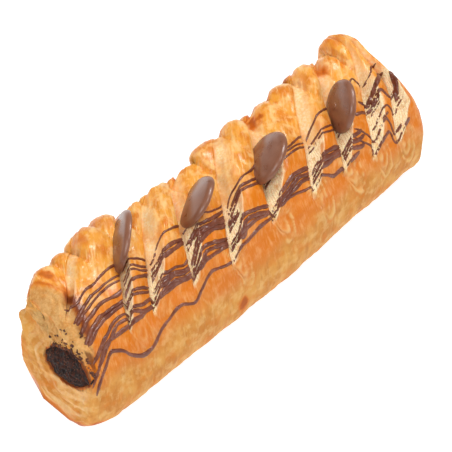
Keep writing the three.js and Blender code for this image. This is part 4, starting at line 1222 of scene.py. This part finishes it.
def line_mesh(surface, line, beside, seed):
    """Points and faces of one chocolate strand that was poured from above over the dough, beside its line."""
    at, side, width = line_samples(line["path"], line["widths"])
    along = at[:, 0]
    wobble = 1 + grainy("line_width", along, seed) + grainy("line_width_fine", along, seed)
    sway = grainy("line_sway", along, seed)
    count = LINE_SIDES + 1
    points = np.zeros((len(at), count, 3))
    there = np.zeros((len(at), count), bool)
    from_end = np.minimum(np.arange(len(at)), np.arange(len(at))[::-1]) * LINE_STEP
    ends = smooth(from_end, 0, LINE_TAPER)
    halves = width * wobble * lerp(LINE_TIP, 1, ends) / 2
    shares = np.linspace(-1, 1, count)
    plan = at[:, None] + side[:, None] * (shares * halves[:, None] + sway[:, None] + beside)[..., None]
    gaps = grainy("line_gap", plan[..., 0], plan[..., 1], seed)
    gaps = gaps + grainy("line_gap_fine", plan[..., 0], plan[..., 1], seed)
    sag_share = line.get("sag", 1)
    for i, half in enumerate(halves):
        for j, share in enumerate(shares):
            x, depth = plan[i, j]
            found = surface.below(x, depth)
            if found is not None and found[3] * sag_share > LEAST_SAG:
                depth -= found[3] * sag_share
                found = surface.below(x, depth)
            if found is None:
                points[i, j] = (x, depth, HIDDEN_HEIGHT)
                continue
            height, normal, flaky, _sag = found
            crown = (0.26 + 0.5 * half) * math.sqrt(max(1 - share**2, 0))
            thick = crown * ends[i] * (1 + 0.12 * gaps[i, j]) - LINE_SUNK
            if flaky > FLAKY_ENOUGH:
                thick = max(min(thick, 0.45 * (gaps[i, j] + half) - LINE_SUNK), -0.25)
            points[i, j] = (x + normal.x * thick, depth + normal.y * thick, height + normal.z * thick)
            there[i, j] = True
    numbers = np.arange(points.shape[0] * count).reshape(-1, count)
    quads = np.stack([numbers[:-1, :-1], numbers[1:, :-1], numbers[1:, 1:], numbers[:-1, 1:]], -1)
    whole = there[:-1, :-1] & there[1:, :-1] & there[1:, 1:] & there[:-1, 1:]
    apart = np.linalg.norm(points[1:] - points[:-1], axis=-1)
    whole &= (apart[:, :-1] < LINE_BREAKS_AT) & (apart[:, 1:] < LINE_BREAKS_AT)
    return points.reshape(-1, 3), quads[whole]


# ---------------------------------------------------------------- settings a user may change
def colour_property(name, description, code):
    """Colour with a default from an sRGB hex code."""
    return FloatVectorProperty(
        name=name, description=description, subtype="COLOR", size=3, min=0, max=1, default=linear(code),
    )


def power_property(name, description, default):
    """Power of a lamp."""
    return FloatProperty(name=name, description=description, default=default, min=0, unit="POWER")


class DoughSettings(bpy.types.PropertyGroup):
    """Colours and shine of the baked dough."""

    gold: colour_property("Gold", "Egg-washed top", "#f0a23a")
    deep_gold: colour_property("Deep gold", "Where the egg wash pooled", "#da760c")
    light_gold: colour_property("Light gold", "Thinly washed dough", "#fcca84")
    side: colour_property("Side", "Side of the bar", "#cf8433")
    side_light: colour_property("Light side", "Paler dough of the side", "#e2a250")
    side_brown: colour_property("Brown side", "Streaks down the side", "#b96418")
    side_pale: colour_property("Pale side", "Loose flakes of the side", "#f0c47e")
    cream: colour_property("Cream", "Cut layers", "#ffe8bd")
    # Painted shade in the gaps between the cut layers.
    cream_shadow: colour_property("Layer edge", "Edges of the cut layers", "#d6974f")
    cream_brown: colour_property("Baked flakes", "Browned tips of the cut layers", "#dba562")
    stretched: colour_property("Stretched dough", "Soft valleys in the upper half", "#f9c987")
    stretched_light: colour_property("Light stretched dough", "Soft valleys, lighter", "#fee0b0")
    crumb: colour_property("Crumb", "Open dough of the near end", "#dfab6b")
    # Painted shade of the near end's pores.
    crumb_shadow: colour_property("Crumb hollows", "Pores of the near end", "#ce904c")
    # Painted shade for the bottoms of the slits and the pores of the end faces.
    gap: colour_property("Gap", "Bottom of the slits", "#7a3f16")
    stain: colour_property("Stain", "Where chocolate has soaked into the dough", "#662e18")
    toast: colour_property("Toasted", "Toasted spots", "#dc781c")
    dark_toast: colour_property("Darkly toasted", "Middle of the toasted spots", "#b85a12")
    glaze_roughness: FloatProperty(
        name="Glaze roughness", description="Roughness of the egg-washed top", default=0.42, min=0, max=1,
    )


class ChocolateSettings(bpy.types.PropertyGroup):
    """Colours and shine of the chocolate and of the filling."""

    button: colour_property("Button", "Chocolate of the buttons", "#825139")
    button_light: colour_property("Light button", "Bloom on the buttons", "#8e5d45")
    line: colour_property("Line", "Chocolate of the lines", "#6c3726")
    line_light: colour_property("Light line", "Thin chocolate of the lines", "#824a34")
    # Partly the paste's own colour, partly painted shade in the hollows.
    filling_dark: colour_property("Dark filling", "Hollows of the filling", "#1b0b06")
    filling_light: colour_property("Light filling", "Crumbs of the filling", "#4d2518")
    crumb: colour_property("Crumb", "Loose crumbs of the filling", "#4f2617")
    crumb_light: colour_property("Light crumb", "Loose crumbs with more dough in them", "#7d4a30")
    almond: colour_property("Almond", "Ground almond in the filling", "#8d6044")
    button_roughness: FloatProperty(
        name="Button roughness", description="Roughness of the buttons", default=0.3, min=0, max=1,
    )
    line_roughness: FloatProperty(
        name="Line roughness", description="Roughness of the lines", default=0.24, min=0, max=1,
    )
    crumb_count: IntProperty(name="Crumbs", description="Crumbs at the near end", default=130, min=1)


class StageSettings(bpy.types.PropertyGroup):
    """Floor and light."""

    floor: colour_property("Floor", "Table under the bar", "#a8a8a6")
    floor_shade: colour_property("Floor shade", "Faint cloud in the table", "#a2a2a0")
    light_below: colour_property("Light below", "Light that the table lets through", "#ffffff")
    glow: FloatProperty(name="Glow", description="Strength of the light from below", default=0.9, min=0)
    sky: FloatProperty(name="Sky", description="Strength of the even light", default=0.3, min=0)
    key: power_property("Key light", "Power of the lamp above", 6.5)
    fill: power_property("Fill light", "Power of the near lamp", 4.1)
    front: power_property("Front light", "Power of the front lamp", 1.7)
    glint: power_property("Glint light", "Power of the small lamp", 1.4)


# ---------------------------------------------------------------- operators
def needed(name):
    """A piece made by an earlier operator."""
    obj = bpy.data.objects.get(name)
    if obj is None:
        raise RuntimeError(f"make the piece {name} first")
    return obj


class PASTRY_OT_dough(bpy.types.Operator):
    """Makes the baked dough with its slits, layers and tunnel"""

    bl_idname = "pastry.dough"
    bl_label = "Dough"

    def execute(self, context):
        points, quads, masks = dough_mesh()
        obj = mesh_piece("dough", points, quads, masks, dough_material(context.scene.pastry_dough))
        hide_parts("pastry")
        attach(obj, "root")
        return {"FINISHED"}


class PASTRY_OT_filling(bpy.types.Operator):
    """Makes the filling that shows at both ends"""

    bl_idname = "pastry.filling"
    bl_label = "Filling"

    def execute(self, context):
        points, faces = filling_mesh()
        material = filling_material(context.scene.pastry_chocolate)
        obj = mesh_piece("filling_paste", points, faces, None, material)
        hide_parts("filling")
        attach(obj, "root")
        return {"FINISHED"}


class PASTRY_OT_buttons(bpy.types.Operator):
    """Makes the four chocolate buttons"""

    bl_idname = "pastry.buttons"
    bl_label = "Buttons"

    def execute(self, context):
        look = context.scene.pastry_chocolate
        colours = (look.button, look.button_light)
        material = chocolate_material("Chocolate button", colours, look.button_roughness, 0.32)
        for n, (at, faces_to, radius) in enumerate(BUTTONS, 1):
            points, faces = button_mesh(radius, n)
            turn = Vector((0, 0, 1)).rotation_difference(Vector(faces_to)).to_matrix()
            obj = mesh_piece(f"chocolate_button_{n}", points @ np.array(turn).T + at, faces, None, material)
            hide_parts(f"button_{n}")
            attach(obj, "root")
        return {"FINISHED"}


class PASTRY_OT_lines(bpy.types.Operator):
    """Pours the chocolate lines over the dough"""

    bl_idname = "pastry.lines"
    bl_label = "Chocolate lines"

    def execute(self, context):
        look = context.scene.pastry_chocolate
        surface = Surface(needed("dough"))
        points, quads, total = [], [], 0
        strands = [(line, beside) for line in LINES for beside in line.get("beside", (0,))]
        for seed, (line, beside) in enumerate(strands):
            p, q = line_mesh(surface, line, beside, seed)
            points.append(p)
            quads.append(q + total)
            total += len(p)
        material = chocolate_material("Chocolate line", (look.line, look.line_light), look.line_roughness)
        obj = mesh_piece("chocolate_lines", np.vstack(points), np.concatenate(quads), None, material)
        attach(obj, "root")
        return {"FINISHED"}


class PASTRY_OT_crumbs(bpy.types.Operator):
    """Scatters chocolate crumbs on the near end around the filling"""

    bl_idname = "pastry.crumbs"
    bl_label = "Crumbs"

    def execute(self, context):
        look = context.scene.pastry_chocolate
        rng = np.random.default_rng(CRUMB_SEED)
        surface = Surface(needed("dough"))
        angle = rng.uniform(*CRUMB_ANGLES, look.crumb_count)
        out = CRUMB_GAP + rng.exponential(CRUMB_SCATTER, look.crumb_count) * np.sin(angle)
        places = [surface.from_near_end(*place) for place in zip(*mouth_point(angle, out))]
        places = np.array([place for place in places if place is not None])
        points, faces = crumb_mesh(places, rng.uniform(*CRUMB_SIZES, len(places)), rng)
        material = chocolate_material("Baked chocolate crumb", (look.crumb, look.crumb_light), 0.55)
        obj = mesh_piece("filling_crumbs", points, faces, None, material)
        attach(obj, "root")
        return {"FINISHED"}


class PASTRY_OT_stage(bpy.types.Operator):
    """Sets up the floor, the light and the camera"""

    bl_idname = "pastry.stage"
    bl_label = "Stage"

    def execute(self, context):
        look = context.scene.pastry_stage
        scene = context.scene
        scene.view_settings.view_transform = "Standard"
        floor = grid_floor(floor_material(look))
        world = bpy.data.worlds.new("Studio")
        world.use_nodes = True
        background = world.node_tree.nodes["Background"]
        background.inputs["Color"].default_value = (1, 1, 1, 1)
        background.inputs["Strength"].default_value = look.sky
        scene.world = world
        for name, (at, size) in LAMPS.items():
            add_lamp(f"{name}_light", at, size, getattr(look, name))
        add_camera()
        return {"FINISHED"}


FLOOR_HALF_SIDE, FLOOR_GAP = 3.0, 0.0002     # metres


def grid_floor(material):
    """Wide flat board, a hair under the bar."""
    side = np.linspace(-FLOOR_HALF_SIDE, FLOOR_HALF_SIDE, 13)
    points = [(x, y, -FLOOR_GAP) for y in side for x in side]
    count = len(side)
    faces = [
        (r * count + k, r * count + k + 1, (r + 1) * count + k + 1, (r + 1) * count + k)
        for r in range(count - 1) for k in range(count - 1)
    ]
    mesh = bpy.data.meshes.new("floor")
    mesh.from_pydata(points, [], faces)
    mesh.materials.append(material)
    obj = bpy.data.objects.new("floor", mesh)
    bpy.context.scene.collection.objects.link(obj)
    return obj


# Lamps: place and side, in metres. Their powers are settings.
LAMPS = {
    "key": ((0.42, 0.13, 1.02), 0.3), "fill": ((-0.85, -0.15, 0.8), 0.5),
    "front": ((0.55, -0.95, 0.45), 0.3), "glint": ((-0.1, -0.22, 1.0), 0.15),
}
LAMP_AIM = (0, 0, 0.02)


def add_lamp(name, at, size, power):
    """Square area lamp in metres that looks at the bar."""
    lamp = bpy.data.lights.new(name, "AREA")
    lamp.size = size
    lamp.energy = power
    obj = bpy.data.objects.new(name, lamp)
    obj.location = at
    obj.rotation_mode = "QUATERNION"
    obj.rotation_quaternion = (Vector(LAMP_AIM) - Vector(at)).to_track_quat("-Z", "Y")
    bpy.context.scene.collection.objects.link(obj)


# Camera in the bar's frame: turned about Z, above the horizon, rolled, in degrees; distances in metres.
CAMERA_AZIMUTH = 53.138
CAMERA_ELEVATION = 51.508
CAMERA_ROLL = 7.999
CAMERA_DISTANCE = 1.5
CAMERA_LENS = 304.4
CAMERA_AIM = (0.00319, -0.00086, 0.022)


def add_camera():
    """Camera at the photograph's angle, far off with a long lens."""
    azimuth, elevation = math.radians(CAMERA_AZIMUTH), math.radians(CAMERA_ELEVATION)
    back = Vector((
        -math.cos(elevation) * math.sin(azimuth),
        -math.cos(elevation) * math.cos(azimuth),
        math.sin(elevation),
    ))
    level = Vector((math.cos(azimuth), -math.sin(azimuth), 0))
    roll = math.radians(CAMERA_ROLL)
    upright = back.cross(level)
    right = level * math.cos(roll) + upright * math.sin(roll)
    up = back.cross(right)
    camera = bpy.data.cameras.new("camera")
    camera.lens = CAMERA_LENS
    camera.sensor_width = 36
    camera.clip_start, camera.clip_end = 0.1, 20
    obj = bpy.data.objects.new("camera", camera)
    turn = Matrix((right, up, back)).transposed()
    at = Vector(CAMERA_AIM) + back * CAMERA_DISTANCE
    obj.matrix_world = Matrix.LocRotScale(at, turn.to_quaternion(), None)
    bpy.context.scene.collection.objects.link(obj)
    bpy.context.scene.camera = obj


class PASTRY_PT_panel(bpy.types.Panel):
    """Lists the pieces of the pastry bar"""

    bl_label = "Chocolate pastry bar"
    bl_idname = "PASTRY_PT_panel"
    bl_space_type = "VIEW_3D"
    bl_region_type = "UI"
    bl_category = "Pastry"

    def draw(self, context):
        for operator in OPERATORS:
            self.layout.operator(operator.bl_idname)


OPERATORS = (
    PASTRY_OT_dough, PASTRY_OT_filling, PASTRY_OT_buttons, PASTRY_OT_lines, PASTRY_OT_crumbs, PASTRY_OT_stage,
)
SETTINGS = {
    "pastry_dough": DoughSettings, "pastry_chocolate": ChocolateSettings, "pastry_stage": StageSettings,
}


def register():
    """Adds the classes and the settings to Blender."""
    for group in SETTINGS.values():
        bpy.utils.register_class(group)
    for operator in (*OPERATORS, PASTRY_PT_panel):
        bpy.utils.register_class(operator)
    for name, group in SETTINGS.items():
        setattr(bpy.types.Scene, name, PointerProperty(type=group))


def unregister():
    """Takes the classes and the settings out of Blender."""
    for name in SETTINGS:
        delattr(bpy.types.Scene, name)
    for operator in (PASTRY_PT_panel, *reversed(OPERATORS)):
        bpy.utils.unregister_class(operator)
    for group in SETTINGS.values():
        bpy.utils.unregister_class(group)


def main():
    """Builds everything in order."""
    register()
    bpy.ops.pastry.dough()
    bpy.ops.pastry.filling()
    bpy.ops.pastry.buttons()
    bpy.ops.pastry.lines()
    bpy.ops.pastry.crumbs()
    bpy.ops.pastry.stage()


if __name__ == "__main__":
    main()
